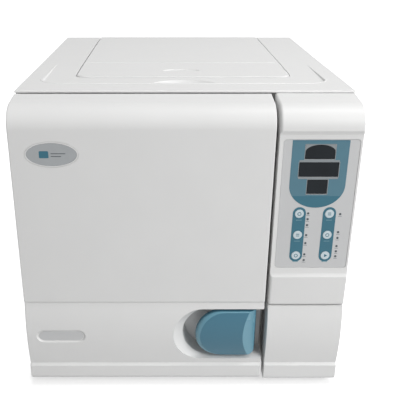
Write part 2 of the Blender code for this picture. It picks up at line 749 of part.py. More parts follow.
def build_tank():
    """The water tank hung under the cover, divided into a clean and a used side."""
    half = TANK_HALF
    tank = box("water_tank", (-half, TANK_FRONT, TANK_BOTTOM), (half, TANK_BACK, TANK_TOP))
    rim = TANK_RIM
    join(tank, box("tank_rim", (-half - rim, TANK_FRONT - TANK_WALL, TANK_TOP - TANK_WALL),
                   (half + rim, TANK_BACK + TANK_WALL, TANK_TOP)))
    floor = TANK_BOTTOM + TANK_WALL
    wall = TANK_WALL
    cut(tank,
        box("clean_side", (-half + wall, TANK_FRONT + wall, floor),
            (TANK_DIVIDE - wall, TANK_BACK - wall, HEIGHT)),
        box("used_side", (TANK_DIVIDE, TANK_FRONT + wall, floor),
            (half - wall, TANK_BACK - wall, HEIGHT)))
    coat(tank, "tank_plastic")


def build_chamber():
    """The drawn chamber with its mouth flange, and what wraps it."""
    outer = BORE_RADIUS + CHAMBER_WALL
    mouth = BULKHEAD_Y
    flange_back = mouth + FLANGE_DEPTH
    inner_end = CHAMBER_END - END_WALL
    profile = [(0, CHAMBER_END), (outer, CHAMBER_END), (outer, flange_back),
               (FLANGE_RADIUS, flange_back), (FLANGE_RADIUS, mouth), (BORE_RADIUS, mouth),
               (BORE_RADIUS, inner_end), (0, inner_end)]
    coat(turned("chamber", profile, CHAMBER_X, CHAMBER_Z), "stainless_steel")
    near = mouth + HEATER_SETBACK
    far = near + HEATER_LENGTH
    heater_inner = outer + SEAT
    heater_outer = heater_inner + HEATER_WALL
    band = [(heater_outer, far), (heater_outer, near), (heater_inner, near), (heater_inner, far)]
    coat(turned("heater_band", band, CHAMBER_X, CHAMBER_Z, closed=True), "zinc_steel")
    near = flange_back + JACKET_END_GAP
    far = CHAMBER_END + JACKET_END_GAP
    wrap = [(JACKET_RADIUS, far), (JACKET_RADIUS, near), (JACKET_INNER, near), (JACKET_INNER, far)]
    coat(turned("insulation_jacket", wrap, CHAMBER_X, CHAMBER_Z, closed=True), "insulation_foil")


def build_cradle():
    """Two saddle plates on a pair of rails, standing in the pan."""
    low = PAN_TOP + SEAT
    high = low + CRADLE_HEIGHT + JACKET_LIFT
    left = CHAMBER_X - CRADLE_HALF_WIDTH
    right = CHAMBER_X + CRADLE_HALF_WIDTH
    first = BULKHEAD_Y + CRADLE_SETBACK
    last = first + CRADLE_SPACING
    plate = [(left, low), (right, low), (right, high), (left, high)]
    cradle = slab("chamber_cradle", [plate], first, first + CRADLE_PLATE, FRONT_PLANE)
    rear = slab("rear_saddle", [plate], last, last + CRADLE_PLATE, FRONT_PLANE)
    join(cradle, rear)
    far = last + CRADLE_PLATE
    for side, x in (("left", left), ("right", right - RAIL_WIDTH)):
        join(cradle, box(f"{side}_cradle_rail", (x, first, low), (x + RAIL_WIDTH, far, low + CRADLE_PLATE)))
    axis = (CHAMBER_X, CHAMBER_Z)
    cut(cradle, rod("saddle_cut", JACKET_RADIUS + SEAT, (axis[0], first - RUN, axis[1]),
                    (axis[0], far + RUN, axis[1]), 48))
    coat(cradle, "zinc_steel")


def build_rack():
    """The sheet rack with three pairs of runners, and the trays that lie on them."""
    half_height = math.sqrt((BORE_RADIUS - SEAT) ** 2 - RACK_HALF_WIDTH ** 2)
    near = BULKHEAD_Y + RACK_SETBACK
    far = near + RACK_LENGTH
    low = CHAMBER_Z - half_height
    inner = RACK_HALF_WIDTH - RACK_PLATE
    plates = []
    for i, (start, end) in enumerate(((-RACK_HALF_WIDTH, -inner), (inner, RACK_HALF_WIDTH))):
        plates.append(box(f"rack_plate_{i}", (CHAMBER_X + start, near, low),
                          (CHAMBER_X + end, far, CHAMBER_Z + half_height)))
    rack = plates[0]
    rack.name = "tray_rack"
    ties = []
    for i, y in enumerate((near, far - RUNNER_WIDTH)):
        ties.append(box(f"rack_tie_{i}", (CHAMBER_X - inner - RACK_PLATE / 2, y, low),
                        (CHAMBER_X + inner + RACK_PLATE / 2, y + RUNNER_WIDTH, low + RACK_PLATE)))
    join(rack, *ties, plates[1])
    tray_half = inner - TRAY_SIDE_GAP
    for level, name in enumerate(("lower_tray", "middle_tray", "upper_tray")):
        floor = CHAMBER_Z + TRAY_PITCH * (level - 1) - TRAY_HEIGHT
        runner_far = inner + RACK_PLATE / 2
        runner_near = inner - RUNNER_WIDTH
        for side, start, end in (("left", -runner_far, -runner_near), ("right", runner_near, runner_far)):
            join(rack, box(f"{side}_runner_{level}", (CHAMBER_X + start, near, floor - RUNNER_HEIGHT),
                           (CHAMBER_X + end, far, floor)))
        build_tray(name, tray_half, near + TRAY_END_GAP, far - TRAY_END_GAP, floor + SEAT)
    coat(rack, "stainless_steel")


def build_tray(name, half, near, far, floor):
    """A sheet tray: tall sides, and a low lip at each end to lift it out by."""
    wall = TRAY_WALL
    tray = box(name, (CHAMBER_X - half, near, floor), (CHAMBER_X + half, far, floor + TRAY_HEIGHT))
    cut(tray, box(name + "_inside", (CHAMBER_X - half + wall, near + wall, floor + wall),
                  (CHAMBER_X + half - wall, far - wall, floor + 2 * TRAY_HEIGHT)))
    for end, start in (("front", near - wall), ("rear", far - 2 * wall)):
        cut(tray, box(f"{name}_{end}_end", (CHAMBER_X - half - wall, start, floor + TRAY_END_HEIGHT),
                      (CHAMBER_X + half + wall, start + 3 * wall, floor + 2 * TRAY_HEIGHT)))
    coat(tray, "stainless_steel")


def build_machinery():
    """The machines that stand in the pan beside the chamber."""
    low = PAN_TOP + SEAT
    left = BAY_X - BAY_HALF
    right = BAY_X + BAY_HALF
    generator = rod("steam_generator", GENERATOR_RADIUS, (BAY_X, GENERATOR_Y, low),
                    (BAY_X, GENERATOR_Y, low + GENERATOR_HEIGHT))
    coat(generator, "stainless_steel")
    valves = box("valve_block", (left, VALVE_Y, low), (right, VALVE_Y + VALVE_LENGTH, low + VALVE_HEIGHT))
    pitch = 2 * BAY_HALF / COIL_COUNT
    for i in range(COIL_COUNT):
        centre = (left + pitch * (i + 0.5), VALVE_Y + VALVE_LENGTH / 2)
        top = low + VALVE_HEIGHT
        join(valves, rod(f"valve_coil_{i}", COIL_RADIUS, (*centre, top - RUN),
                         (*centre, top + COIL_HEIGHT), 20))
    coat(valves, "brass_fitting")
    pump_end = PUMP_Y + PUMP_LENGTH
    pump = box("vacuum_pump", (left, PUMP_Y, low), (right, pump_end, low + PUMP_HEIGHT))
    middle = (BAY_X, (PUMP_Y + pump_end) / 2)
    top = low + PUMP_HEIGHT
    join(pump, rod("pump_motor", PUMP_MOTOR_RADIUS, (*middle, top - RUN),
                   (*middle, top + PUMP_MOTOR_HEIGHT), 28))
    coat(pump, "motor_grey")
    condenser = box("condenser", (left, CONDENSER_Y, low),
                    (right, CONDENSER_Y + CONDENSER_LENGTH, low + CONDENSER_HEIGHT))
    fin_pitch = 2 * BAY_HALF / FIN_COUNT
    for i in range(FIN_COUNT):
        x = left + fin_pitch * (i + 0.5)
        gap = (CONDENSER_Y - FIN_DEPTH, CONDENSER_Y + FIN_DEPTH)
        cut(condenser, box(f"fin_gap_{i}", (x - FIN_GAP / 2, gap[0], low + FIN_DEPTH),
                           (x + FIN_GAP / 2, gap[1], low + CONDENSER_HEIGHT + FIN_DEPTH)))
    coat(condenser, "zinc_steel")
    board_face = INSIDE_HALF - SEAT
    board = box("main_board", (board_face - BOARD_SHEET, BOARD_Y, BOARD_Z),
                (board_face, BOARD_Y + BOARD_LENGTH, BOARD_Z + BOARD_HEIGHT))
    coat(board, "board_green")


def build_safety_valve():
    """The relief valve on the chamber end, reaching out through the rear panel."""
    start = CHAMBER_END + SEAT
    nut = REAR_Y - RUN
    end = BODY_DEPTH + VALVE_PROUD
    radius = VALVE_BODY_RADIUS
    stem = radius / 2
    profile = [(0, end), (stem, end), (stem, end - VALVE_PROUD / 2), (radius, REAR_OUTER + RUN),
               (radius, nut), (stem, nut), (stem, start), (0, start)]
    coat(turned("safety_valve", profile, CHAMBER_X, CHAMBER_Z + VALVE_RISE, steps=24), "brass_fitting")


def build_fan():
    """The square fan frame behind the rear panel, its rotor and the slotted guard outside."""
    back = REAR_Y - SEAT
    front = back - FAN_DEPTH
    square = rectangle(BAY_X, FAN_Z, FAN_SIZE, FAN_SIZE, FAN_CORNER)
    frame = slab("fan_frame", [square, circle(BAY_X, FAN_Z, FAN_BORE)], front, back, FRONT_PLANE)
    web = front + FAN_DEPTH / 4
    arm = BLADE_SHEET
    reach = FAN_BORE + RUN
    join(frame,
         box("fan_arm_across", (BAY_X - reach, front + SEAT, FAN_Z - arm),
             (BAY_X + reach, web - SEAT, FAN_Z + arm)),
         box("fan_arm_upright", (BAY_X - arm, front + RUN, FAN_Z - reach),
             (BAY_X + arm, web - RUN, FAN_Z + reach)),
         rod("fan_motor", FAN_HUB_RADIUS, (BAY_X, front, FAN_Z), (BAY_X, web, FAN_Z), 24))
    coat(frame, "dark_plastic")
    hub_front = web + SEAT
    hub_back = hub_front + FAN_HUB
    rotor = rod("fan_rotor", FAN_HUB_RADIUS, (BAY_X, hub_front, FAN_Z), (BAY_X, hub_back, FAN_Z), 24)
    middle = (hub_front + hub_back) / 2
    half_chord = FAN_HUB / 2 - SEAT
    for i in range(FAN_BLADES):
        low = (-half_chord / 2, -half_chord, FAN_HUB_RADIUS - RUN)
        high = (half_chord / 2, half_chord, FAN_BORE - RUN)
        blade = box(f"fan_blade_{i}", low, high)
        angle = 2 * math.pi * i / FAN_BLADES
        blade.data.transform(blade.matrix_basis)
        for vertex in blade.data.vertices:
            sheared = vertex.co.y * math.tan(BLADE_TWIST)
            vertex.co.x = math.copysign(BLADE_SHEET / 2, vertex.co.x) + sheared
        blade.location = (BAY_X, middle, FAN_Z)
        blade.rotation_euler = (0, angle, 0)
        join(rotor, blade)
    coat(rotor, "dark_plastic", fan_axis)
    loops = [circle(BAY_X, FAN_Z, GUARD_RADIUS, 48)]
    for i in range(GUARD_SLOTS):
        angle = 360 * i / GUARD_SLOTS
        width = 180 / GUARD_SLOTS
        for inner, outer in ((FAN_HUB_RADIUS, FAN_BORE / 2 + RUN), (FAN_BORE / 2 + 3 * RUN, FAN_BORE)):
            slot = arc(BAY_X, FAN_Z, outer, angle, angle + width, 2)
            slot += arc(BAY_X, FAN_Z, inner, angle + width, angle, 2)
            loops.append(slot)
    guard_near = REAR_OUTER + SEAT
    coat(slab("fan_guard", loops, guard_near, guard_near + GUARD_SHEET, FRONT_PLANE), "dark_plastic")


def build_inlet():
    """The mains inlet module with its socket, and the rocker switch above it."""
    body = rectangle(BAY_X, INLET_Z, INLET_WIDTH, INLET_HEIGHT)
    flange = rectangle(BAY_X, INLET_Z, INLET_WIDTH + 2 * INLET_FLANGE,
                       INLET_HEIGHT + 2 * INLET_FLANGE, INLET_FLANGE)
    flange_near = REAR_OUTER + SEAT
    face = flange_near + GUARD_SHEET
    inlet = slab("mains_inlet", [body], face - INLET_DEPTH, face - SEAT, FRONT_PLANE)
    join(inlet, slab("inlet_flange", [flange], flange_near, face, FRONT_PLANE))
    socket = rectangle(BAY_X, INLET_Z - INLET_HEIGHT / 4, SOCKET_WIDTH, SOCKET_HEIGHT, INLET_FLANGE, 2)
    switch = rocker_centre()
    well = ROCKER_RADIUS + 2 * SEAT
    cut(inlet, slab("inlet_socket", [socket], face - SOCKET_DEPTH, face + RUN, FRONT_PLANE),
        box("rocker_well", (BAY_X - ROCKER_WIDTH / 2 - SEAT, switch[1] - well, switch[2] - well),
            (BAY_X + ROCKER_WIDTH / 2 + SEAT, face + RUN, switch[2] + well)))
    coat(inlet, "dark_plastic")
    round_back = arc(switch[1], switch[2], ROCKER_RADIUS, 60, 300, 10)
    notch = (switch[1] + ROCKER_RADIUS / 4, switch[2])
    rocker = slab("mains_rocker", [[*round_back, notch]], BAY_X - ROCKER_WIDTH / 2,
                  BAY_X + ROCKER_WIDTH / 2, SIDE_PLANE)
    coat(rocker, "dark_plastic", rocker_axis)


def rocker_centre():
    face = REAR_OUTER + SEAT + GUARD_SHEET
    return (BAY_X, face - ROCKER_RADIUS / 3, INLET_Z + INLET_HEIGHT / 4)


def build_column():
    """The control column: a rolled top, a recessed panel, a ledge and the block under it."""
    back = BULKHEAD_Y - SEAT
    wall = FASCIA_WALL
    outside = fascia_roll(back)
    outside += [(PANEL_RECESS / 3, BROW + BROW_HEIGHT / 3), (PANEL_RECESS, BROW),
                (PANEL_RECESS, LEDGE_Z), (0, LEDGE_Z - LEDGE_HEIGHT), (0, COLUMN_BOTTOM),
                (back, COLUMN_BOTTOM)]
    column = slab("control_column", [outside], COLUMN_LEFT, HALF_WIDTH, SIDE_PLANE)
    inside = shell_inside(back, PANEL_RECESS + wall, COLUMN_BOTTOM + wall)
    hollow = slab("column_inside", [inside], COLUMN_LEFT + wall, HALF_WIDTH - wall, SIDE_PLANE)
    cut(column, hollow)
    cut(column, slab("lens_hole", [lens_outline(SEAT)], 0, BULKHEAD_Y, FRONT_PLANE))
    for name, x, z in key_places():
        cut(column, rod(name + "_hole", KEY_RADIUS + SEAT, (x, 0, z), (x, KEY_DEPTH + RUN, z), 24))
    bolt_hole = rod("bolt_hole", BOLT_RADIUS + SEAT, (COLUMN_LEFT - RUN, BOLT_Y, BOLT_Z),
                    (COLUMN_LEFT + wall + RUN, BOLT_Y, BOLT_Z), 20)
    pivot = (FLAP_PIVOT_X, FLAP_PIVOT_Y)
    pivot_hole = rod("upper_pivot_hole", FLAP_PIVOT_RADIUS + SEAT, (*pivot, COLUMN_BOTTOM - RUN),
                     (*pivot, COLUMN_BOTTOM + FLAP_PIVOT_LENGTH), 16)
    cut(column, bolt_hole, pivot_hole)
    coat(column, "white_plastic")


def shell_inside(back, front, bottom):
    """The hollow of a fascia shell as seen from the side, open at the back."""
    wall = FASCIA_WALL
    inside = [(back + RUN, LAND_FRONT - wall)]
    inside += arc(ROLL_RADIUS, ROLL_END, ROLL_RADIUS - wall, 90, 180, 10)[:-1]
    return inside + [(max(front, wall), ROLL_END), (front, bottom), (back + RUN, bottom)]


def window_places():
    """Centre and size of each display window, from the top down."""
    places = []
    for i, (width, height) in enumerate(WINDOW_SIZES):
        places.append((GRAPHIC_X, MEMBRANE_TOP - FIRST_WINDOW - WINDOW_PITCH * i, width, height))
    return places


def lens_outline(grow):
    """The smoked plate that backs the display windows."""
    places = window_places()
    top = places[0][1] + places[0][3] / 2 + LENS_MARGIN
    bottom = places[-1][1] - places[-1][3] / 2 - LENS_MARGIN
    width = max(place[2] for place in places) + 2 * LENS_MARGIN
    return rectangle(GRAPHIC_X, (top + bottom) / 2, width + 2 * grow, top - bottom + 2 * grow)


def key_places():
    """Name, x and z of each key: two columns of three."""
    places = []
    for side, x in (("left", GRAPHIC_X - KEY_SPREAD / 2), ("right", GRAPHIC_X + KEY_SPREAD / 2)):
        for row, level in enumerate(("upper", "middle", "lower")):
            places.append((f"{side}_{level}_key", x, MEMBRANE_TOP - FIRST_KEY - KEY_PITCH * row))
    return places


def build_panel():
    """The membrane with its windows and key holes, the lens behind it and the keys."""
    sheet = rectangle(MEMBRANE_X, MEMBRANE_TOP - MEMBRANE_HEIGHT / 2, MEMBRANE_WIDTH, MEMBRANE_HEIGHT,
                      MEMBRANE_CORNER)
    loops = [sheet]
    for x, z, width, height in window_places():
        loops.append(rectangle(x, z, width, height, WINDOW_CORNER))
    for _, x, z in key_places():
        loops.append(circle(x, z, KEY_RADIUS + SEAT, 24))
    coat(slab("membrane_panel", loops, MEMBRANE_FACE, MEMBRANE_BACK, FRONT_PLANE), "membrane_film")
    lens = slab("display_lens", [lens_outline(0)], PANEL_RECESS, PANEL_RECESS + LENS_SHEET, FRONT_PLANE)
    coat(lens, "smoked_window")
    for name, x, z in key_places():
        front = MEMBRANE_FACE - KEY_PROUD
        key = rod(name, KEY_RADIUS, (x, front, z), (x, front + KEY_DEPTH, z), 24)
        coat(key, "key_film", key_axes[name])


def build_lock():
    """The solenoid in the column and the bolt that it pushes into the door's edge."""
    start = COLUMN_LEFT + SEAT
    bolt = rod("lock_bolt", BOLT_RADIUS, (start, BOLT_Y, BOLT_Z), (start + BOLT_LENGTH, BOLT_Y, BOLT_Z), 20)
    coat(bolt, "stainless_steel", bolt_axis)
    near = COLUMN_LEFT + FASCIA_WALL + SEAT
    half = SOLENOID_SIZE / 2
    solenoid = box("lock_solenoid", (near, BOLT_Y - half, BOLT_Z - half),
                   (near + SOLENOID_LENGTH, BOLT_Y + half, BOLT_Z + half))
    cut(solenoid, rod("solenoid_bore", BOLT_RADIUS + SEAT, (COLUMN_LEFT, BOLT_Y, BOLT_Z),
                      (near + SOLENOID_LENGTH + RUN, BOLT_Y, BOLT_Z), 20))
    coat(solenoid, "motor_grey")


def build_service_bay():
    """The tub behind the service door, with the tongue that carries the door's lower pivot."""
    left = COLUMN_LEFT + FLAP_WALL
    right = HALF_WIDTH - FLAP_WALL
    low = FLAP_BOTTOM + FLAP_WALL
    high = COLUMN_BOTTOM - SEAT
    wall = BAY_WALL
    bay = box("service_bay", (left, BAY_FRONT, low), (right, BAY_BACK, high))
    tongue_top = FLAP_BOTTOM - SEAT
    tongue_left = right - TONGUE_WIDTH
    web_end = BAY_FRONT + TONGUE_WIDTH
    join(bay, box("tongue", (tongue_left, FLAP_PIVOT_Y - FLAP_PIVOT_INSET, tongue_top - TONGUE_SHEET),
                  (right, web_end, tongue_top)),
         box("tongue_web", (tongue_left, BAY_FRONT + SEAT, tongue_top - RUN), (right, web_end, low + RUN)))
    pivot = (FLAP_PIVOT_X, FLAP_PIVOT_Y)
    cut(bay, box("bay_inside", (left + wall, BAY_FRONT - RUN, low + wall),
                 (right - wall, BAY_BACK - wall, high - wall)),
        rod("lower_pivot_hole", FLAP_PIVOT_RADIUS + SEAT, (*pivot, 0), (*pivot, FLAP_BOTTOM), 16))
    coat(bay, "white_plastic")
    seat = BAY_BACK - wall - SEAT
    inner_right = right - wall - SEAT
    filter_at = (inner_right - FILTER_RADIUS - RUN, high - wall - FILTER_RADIUS - RUN)
    air_filter = rod("air_filter", FILTER_RADIUS, (filter_at[0], seat - FILTER_LENGTH, filter_at[1]),
                     (filter_at[0], seat, filter_at[1]))
    coat(air_filter, "tank_plastic")
    first = left + wall + PORT_SPACING / 2
    for i, name in enumerate(("clean_drain_port", "used_drain_port")):
        front = seat - PORT_LENGTH
        neck = seat - PORT_COLLAR
        profile = [(0, seat), (PORT_RADIUS, seat), (PORT_RADIUS, neck), (PORT_STEM_RADIUS, neck),
                   (PORT_STEM_RADIUS, front), (0, front)]
        port = turned(name, profile, first + PORT_SPACING * i, low + PORT_HEIGHT, steps=20)
        coat(port, "brass_fitting")


def build_service_door():
    """The hollow flap in the foot of the column, with a moulded pivot at each end."""
    wall = FLAP_WALL
    outside = [(FLAP_DEPTH, FLAP_TOP), *foot_band(FLAP_TOP, FLAP_BOTTOM), (FLAP_DEPTH, FLAP_BOTTOM)]
    flap = slab("service_door", [outside], COLUMN_LEFT, HALF_WIDTH, SIDE_PLANE)
    front = BAND_STEP + wall
    inside = [(FLAP_DEPTH + RUN, FLAP_TOP - wall), (front, FLAP_TOP - wall), (front, FLAP_BOTTOM + wall),
              (FLAP_DEPTH + RUN, FLAP_BOTTOM + wall)]
    cut(flap, slab("flap_inside", [inside], COLUMN_LEFT + wall, HALF_WIDTH - wall, SIDE_PLANE))
    pivot = (FLAP_PIVOT_X, FLAP_PIVOT_Y)
    reach = FLAP_TOP_GAP + FLAP_PIVOT_LENGTH - 2 * SEAT
    join(flap,
         rod("upper_pivot", FLAP_PIVOT_RADIUS, (*pivot, FLAP_TOP - wall / 2),
             (*pivot, FLAP_TOP + reach), 16),
         rod("lower_pivot", FLAP_PIVOT_RADIUS, (*pivot, FLAP_BOTTOM - FLAP_PIVOT_LENGTH),
             (*pivot, FLAP_BOTTOM + wall / 2), 16))
    coat(flap, "white_plastic", flap_axis)


def pocket_section(y, lead, half_height):
    """The handle pocket's outline at one depth: round at the left, running out at the right."""
    left = HANDLE_LEFT - lead
    right = DOOR_RIGHT + POCKET_HEIGHT
    outline = [(right, POCKET_Z + half_height)]
    outline += arc(left + half_height, POCKET_Z, half_height, 90, 270, 14)
    outline.append((right, POCKET_Z - half_height))
    return [(x, y, z) for x, z in outline]


def pocket_shape(name, grow):
    """The hand pocket, dished at its left end, or the cup of plastic round it."""
    half = POCKET_HEIGHT / 2 + grow
    deep_half = half - POCKET_DRAW
    ramp_lead = POCKET_LEAD - POCKET_RAMP + grow
    bevel_lead = ramp_lead + POCKET_BEVEL
    return loft(name, [pocket_section(-POCKET_HEIGHT, POCKET_LEAD + grow, half),
                       pocket_section(0, POCKET_LEAD + grow, half),
                       pocket_section(POCKET_BEVEL, bevel_lead, deep_half),
                       pocket_section(POCKET_DEPTH + grow, ramp_lead, deep_half)])


def build_door_shell():
    """The moulded door: rolled top, flat face, bowed band and the hand pocket."""
    wall = FASCIA_WALL
    outside = fascia_roll(DOOR_DEPTH)
    outside += [(0, BAND_TOP + BAND_STEP), (BAND_STEP, BAND_TOP)]
    outside += foot_band(BAND_TOP - BAND_STEP, DOOR_BOTTOM)
    outside.append((DOOR_DEPTH, DOOR_BOTTOM))
    shell = slab("door_shell", [outside], DOOR_LEFT, DOOR_RIGHT, SIDE_PLANE)
    inside = shell_inside(DOOR_DEPTH, BAND_STEP + wall, DOOR_BOTTOM + wall)
    hollow = slab("door_inside", [inside], DOOR_LEFT + wall, DOOR_RIGHT - wall, SIDE_PLANE)
    cut(hollow, pocket_shape("pocket_cup", wall))
    knuckles = DOOR_KNUCKLE + 2 * (FRAME_KNUCKLE + KNUCKLE_GAP) + 4 * RUN
    hinge_notch = box("hinge_notch", (DOOR_LEFT - wall, HINGE_Y - HINGE_SWEEP, CHAMBER_Z - knuckles / 2),
                      (HINGE_X + HINGE_SWEEP, DOOR_DEPTH + wall, CHAMBER_Z + knuckles / 2))
    badge_z = HEIGHT - BADGE_BELOW_TOP
    pill = rectangle(PILL_X, PILL_Z, PILL_LENGTH, PILL_HEIGHT, PILL_HEIGHT / 2 - SEAT, 6)
    band_face = BAND_STEP - BAND_BULGE
    cut(shell, hollow, pocket_shape("pocket_void", 0), hinge_notch,
        slab("badge_recess", [oval(BADGE_X, badge_z, SEAT)], -RUN, BADGE_RECESS, FRONT_PLANE),
        slab("pill_recess", [pill], band_face - RUN, band_face + PILL_DEPTH, FRONT_PLANE),
        rod("shaft_bore", SHAFT_RADIUS + SEAT, (SHAFT_X, SHAFT_Y, HOOK_Z),
            (SHAFT_X, SHAFT_Y, POCKET_Z + POCKET_HEIGHT), 20),
        rod("bolt_socket", BOLT_RADIUS + RUN, (DOOR_RIGHT - wall - RUN, BOLT_Y, BOLT_Z),
            (DOOR_RIGHT + RUN, BOLT_Y, BOLT_Z), 20))
    coat(shell, "white_plastic", door_axis)
    badge = slab("capacity_badge", [oval(BADGE_X, badge_z, 0)], BADGE_RECESS - SEAT - BADGE_SHEET,
                 BADGE_RECESS - SEAT, FRONT_PLANE)
    coat(badge, "badge_silver", door_axis)


def oval(x, z, grow):
    points = []
    for across, up in circle(0, 0, 1, 40):
        points.append((x + across * (BADGE_HALF_WIDTH + grow), z + up * (BADGE_HALF_HEIGHT + grow)))
    return points


def build_door_inside():
    """The back sheet, the crossbeam, the pressure plate on it and the gasket."""
    gap = FASCIA_WALL + SEAT
    left = DOOR_LEFT + gap
    right = DOOR_RIGHT - gap
    low = DOOR_BOTTOM + gap
    high = LAND_FRONT - gap
    knuckles = DOOR_KNUCKLE / 2 + FRAME_KNUCKLE + KNUCKLE_GAP + 2 * RUN
    notch = HINGE_X + HINGE_SWEEP
    notch_top = CHAMBER_Z + knuckles
    notch_bottom = CHAMBER_Z - knuckles
    sheet = [(right, low), (right, high), (left, high), (left, notch_top), (notch, notch_top),
             (notch, notch_bottom), (left, notch_bottom), (left, low)]
    hole = circle(CHAMBER_X, CHAMBER_Z, PLATE_RADIUS + PLATE_HOLE_GAP, 48)
    loops = [sheet, hole, hook_slot(BACK_SHEET_OUTER)]
    back = slab("door_back_panel", loops, BACK_SHEET_INNER, BACK_SHEET_OUTER, FRONT_PLANE)
    coat(back, "stainless_steel", door_axis)
    reach = PLATE_RADIUS + 2 * PLATE_HOLE_GAP
    foot = BACK_SHEET_INNER - SEAT
    left_foot = CHAMBER_X - reach
    right_foot = CHAMBER_X + reach
    web = BEAM_BACK - BEAM_WEB
    foot_front = foot - BEAM_WEB
    hat = [(left_foot - BEAM_FOOT, foot), (left_foot, foot), (left_foot, BEAM_BACK),
           (right_foot, BEAM_BACK), (right_foot, foot), (right_foot + BEAM_FOOT, foot),
           (right_foot + BEAM_FOOT, foot_front), (right_foot + BEAM_WEB, web),
           (left_foot - BEAM_WEB, web), (left_foot - BEAM_FOOT, foot_front)]
    beam = slab("door_crossbeam", [hat], CHAMBER_Z - BEAM_HEIGHT / 2, CHAMBER_Z + BEAM_HEIGHT / 2, PLAN)
    coat(beam, "zinc_steel", door_axis)
    front = PLATE_BACK - PLATE_THICKNESS
    rim = front + PLATE_THICKNESS / 4
    hub = front - PLATE_HUB
    profile = [(0, PLATE_BACK), (PLATE_RADIUS, PLATE_BACK), (PLATE_RADIUS, rim),
               (PLATE_RADIUS - BEAM_FOOT, front), (PLATE_HUB_RADIUS, front),
               (PLATE_HUB_RADIUS, hub), (0, hub)]
    coat(turned("pressure_plate", profile, CHAMBER_X, CHAMBER_Z), "stainless_steel", door_axis)
    near = PLATE_BACK + SEAT
    far = BULKHEAD_Y - SEAT
    inner = GASKET_RADIUS - GASKET_WIDTH
    ring = [(GASKET_RADIUS, far), (GASKET_RADIUS, near), (inner, near), (inner, far)]
    coat(turned("door_gasket", ring, CHAMBER_X, CHAMBER_Z, closed=True), "silicone_rubber", door_axis)


def build_hinge():
    """A frame leaf with two knuckles, a door leaf with one between them, and the pin."""
    half = DOOR_KNUCKLE / 2
    outer = half + KNUCKLE_GAP + FRAME_KNUCKLE
    low = CHAMBER_Z - outer
    high = CHAMBER_Z + outer
    far = BULKHEAD_Y - SEAT
    spine = HINGE_X + KNUCKLE_RADIUS + RUN
    frame = box("hinge_frame_leaf", (spine, far - LEAF_SHEET, low), (spine + LEAF_WIDTH, far, high))
    line = (HINGE_X, HINGE_Y)
    ends = (("lower", low, low + FRAME_KNUCKLE), ("upper", high - FRAME_KNUCKLE, high))
    for level, start, end in ends:
        join(frame,
             box(f"{level}_frame_web", (HINGE_X, far - LEAF_SHEET, start), (spine + RUN, far, end)),
             box(f"{level}_frame_arm", (HINGE_X - LEAF_SHEET, HINGE_Y, start),
                 (HINGE_X + LEAF_SHEET, far, end)),
             rod(f"{level}_frame_knuckle", KNUCKLE_RADIUS, (*line, start), (*line, end), 24))
    cut(frame, rod("frame_pin_bore", PIN_RADIUS + SEAT, (*line, low - RUN), (*line, high + RUN), 20))
    coat(frame, "stainless_steel")
    pin = rod("hinge_pin", PIN_RADIUS, (*line, low), (*line, high), 20)
    coat(pin, "stainless_steel")
    near = DOOR_DEPTH
    low = CHAMBER_Z - half
    high = CHAMBER_Z + half
    leaf = box("hinge_door_leaf", (HINGE_X, near, low), (spine + LEAF_WIDTH, near + LEAF_SHEET, high))
    join(leaf,
         box("door_web", (HINGE_X, HINGE_Y, low), (HINGE_X + LEAF_SHEET, near + LEAF_SHEET, high)),
         rod("door_knuckle", KNUCKLE_RADIUS, (*line, low), (*line, high), 24))
    cut(leaf, rod("leaf_pin_bore", PIN_RADIUS + SEAT, (*line, low - RUN), (*line, high + RUN), 20))
    coat(leaf, "stainless_steel", door_axis)


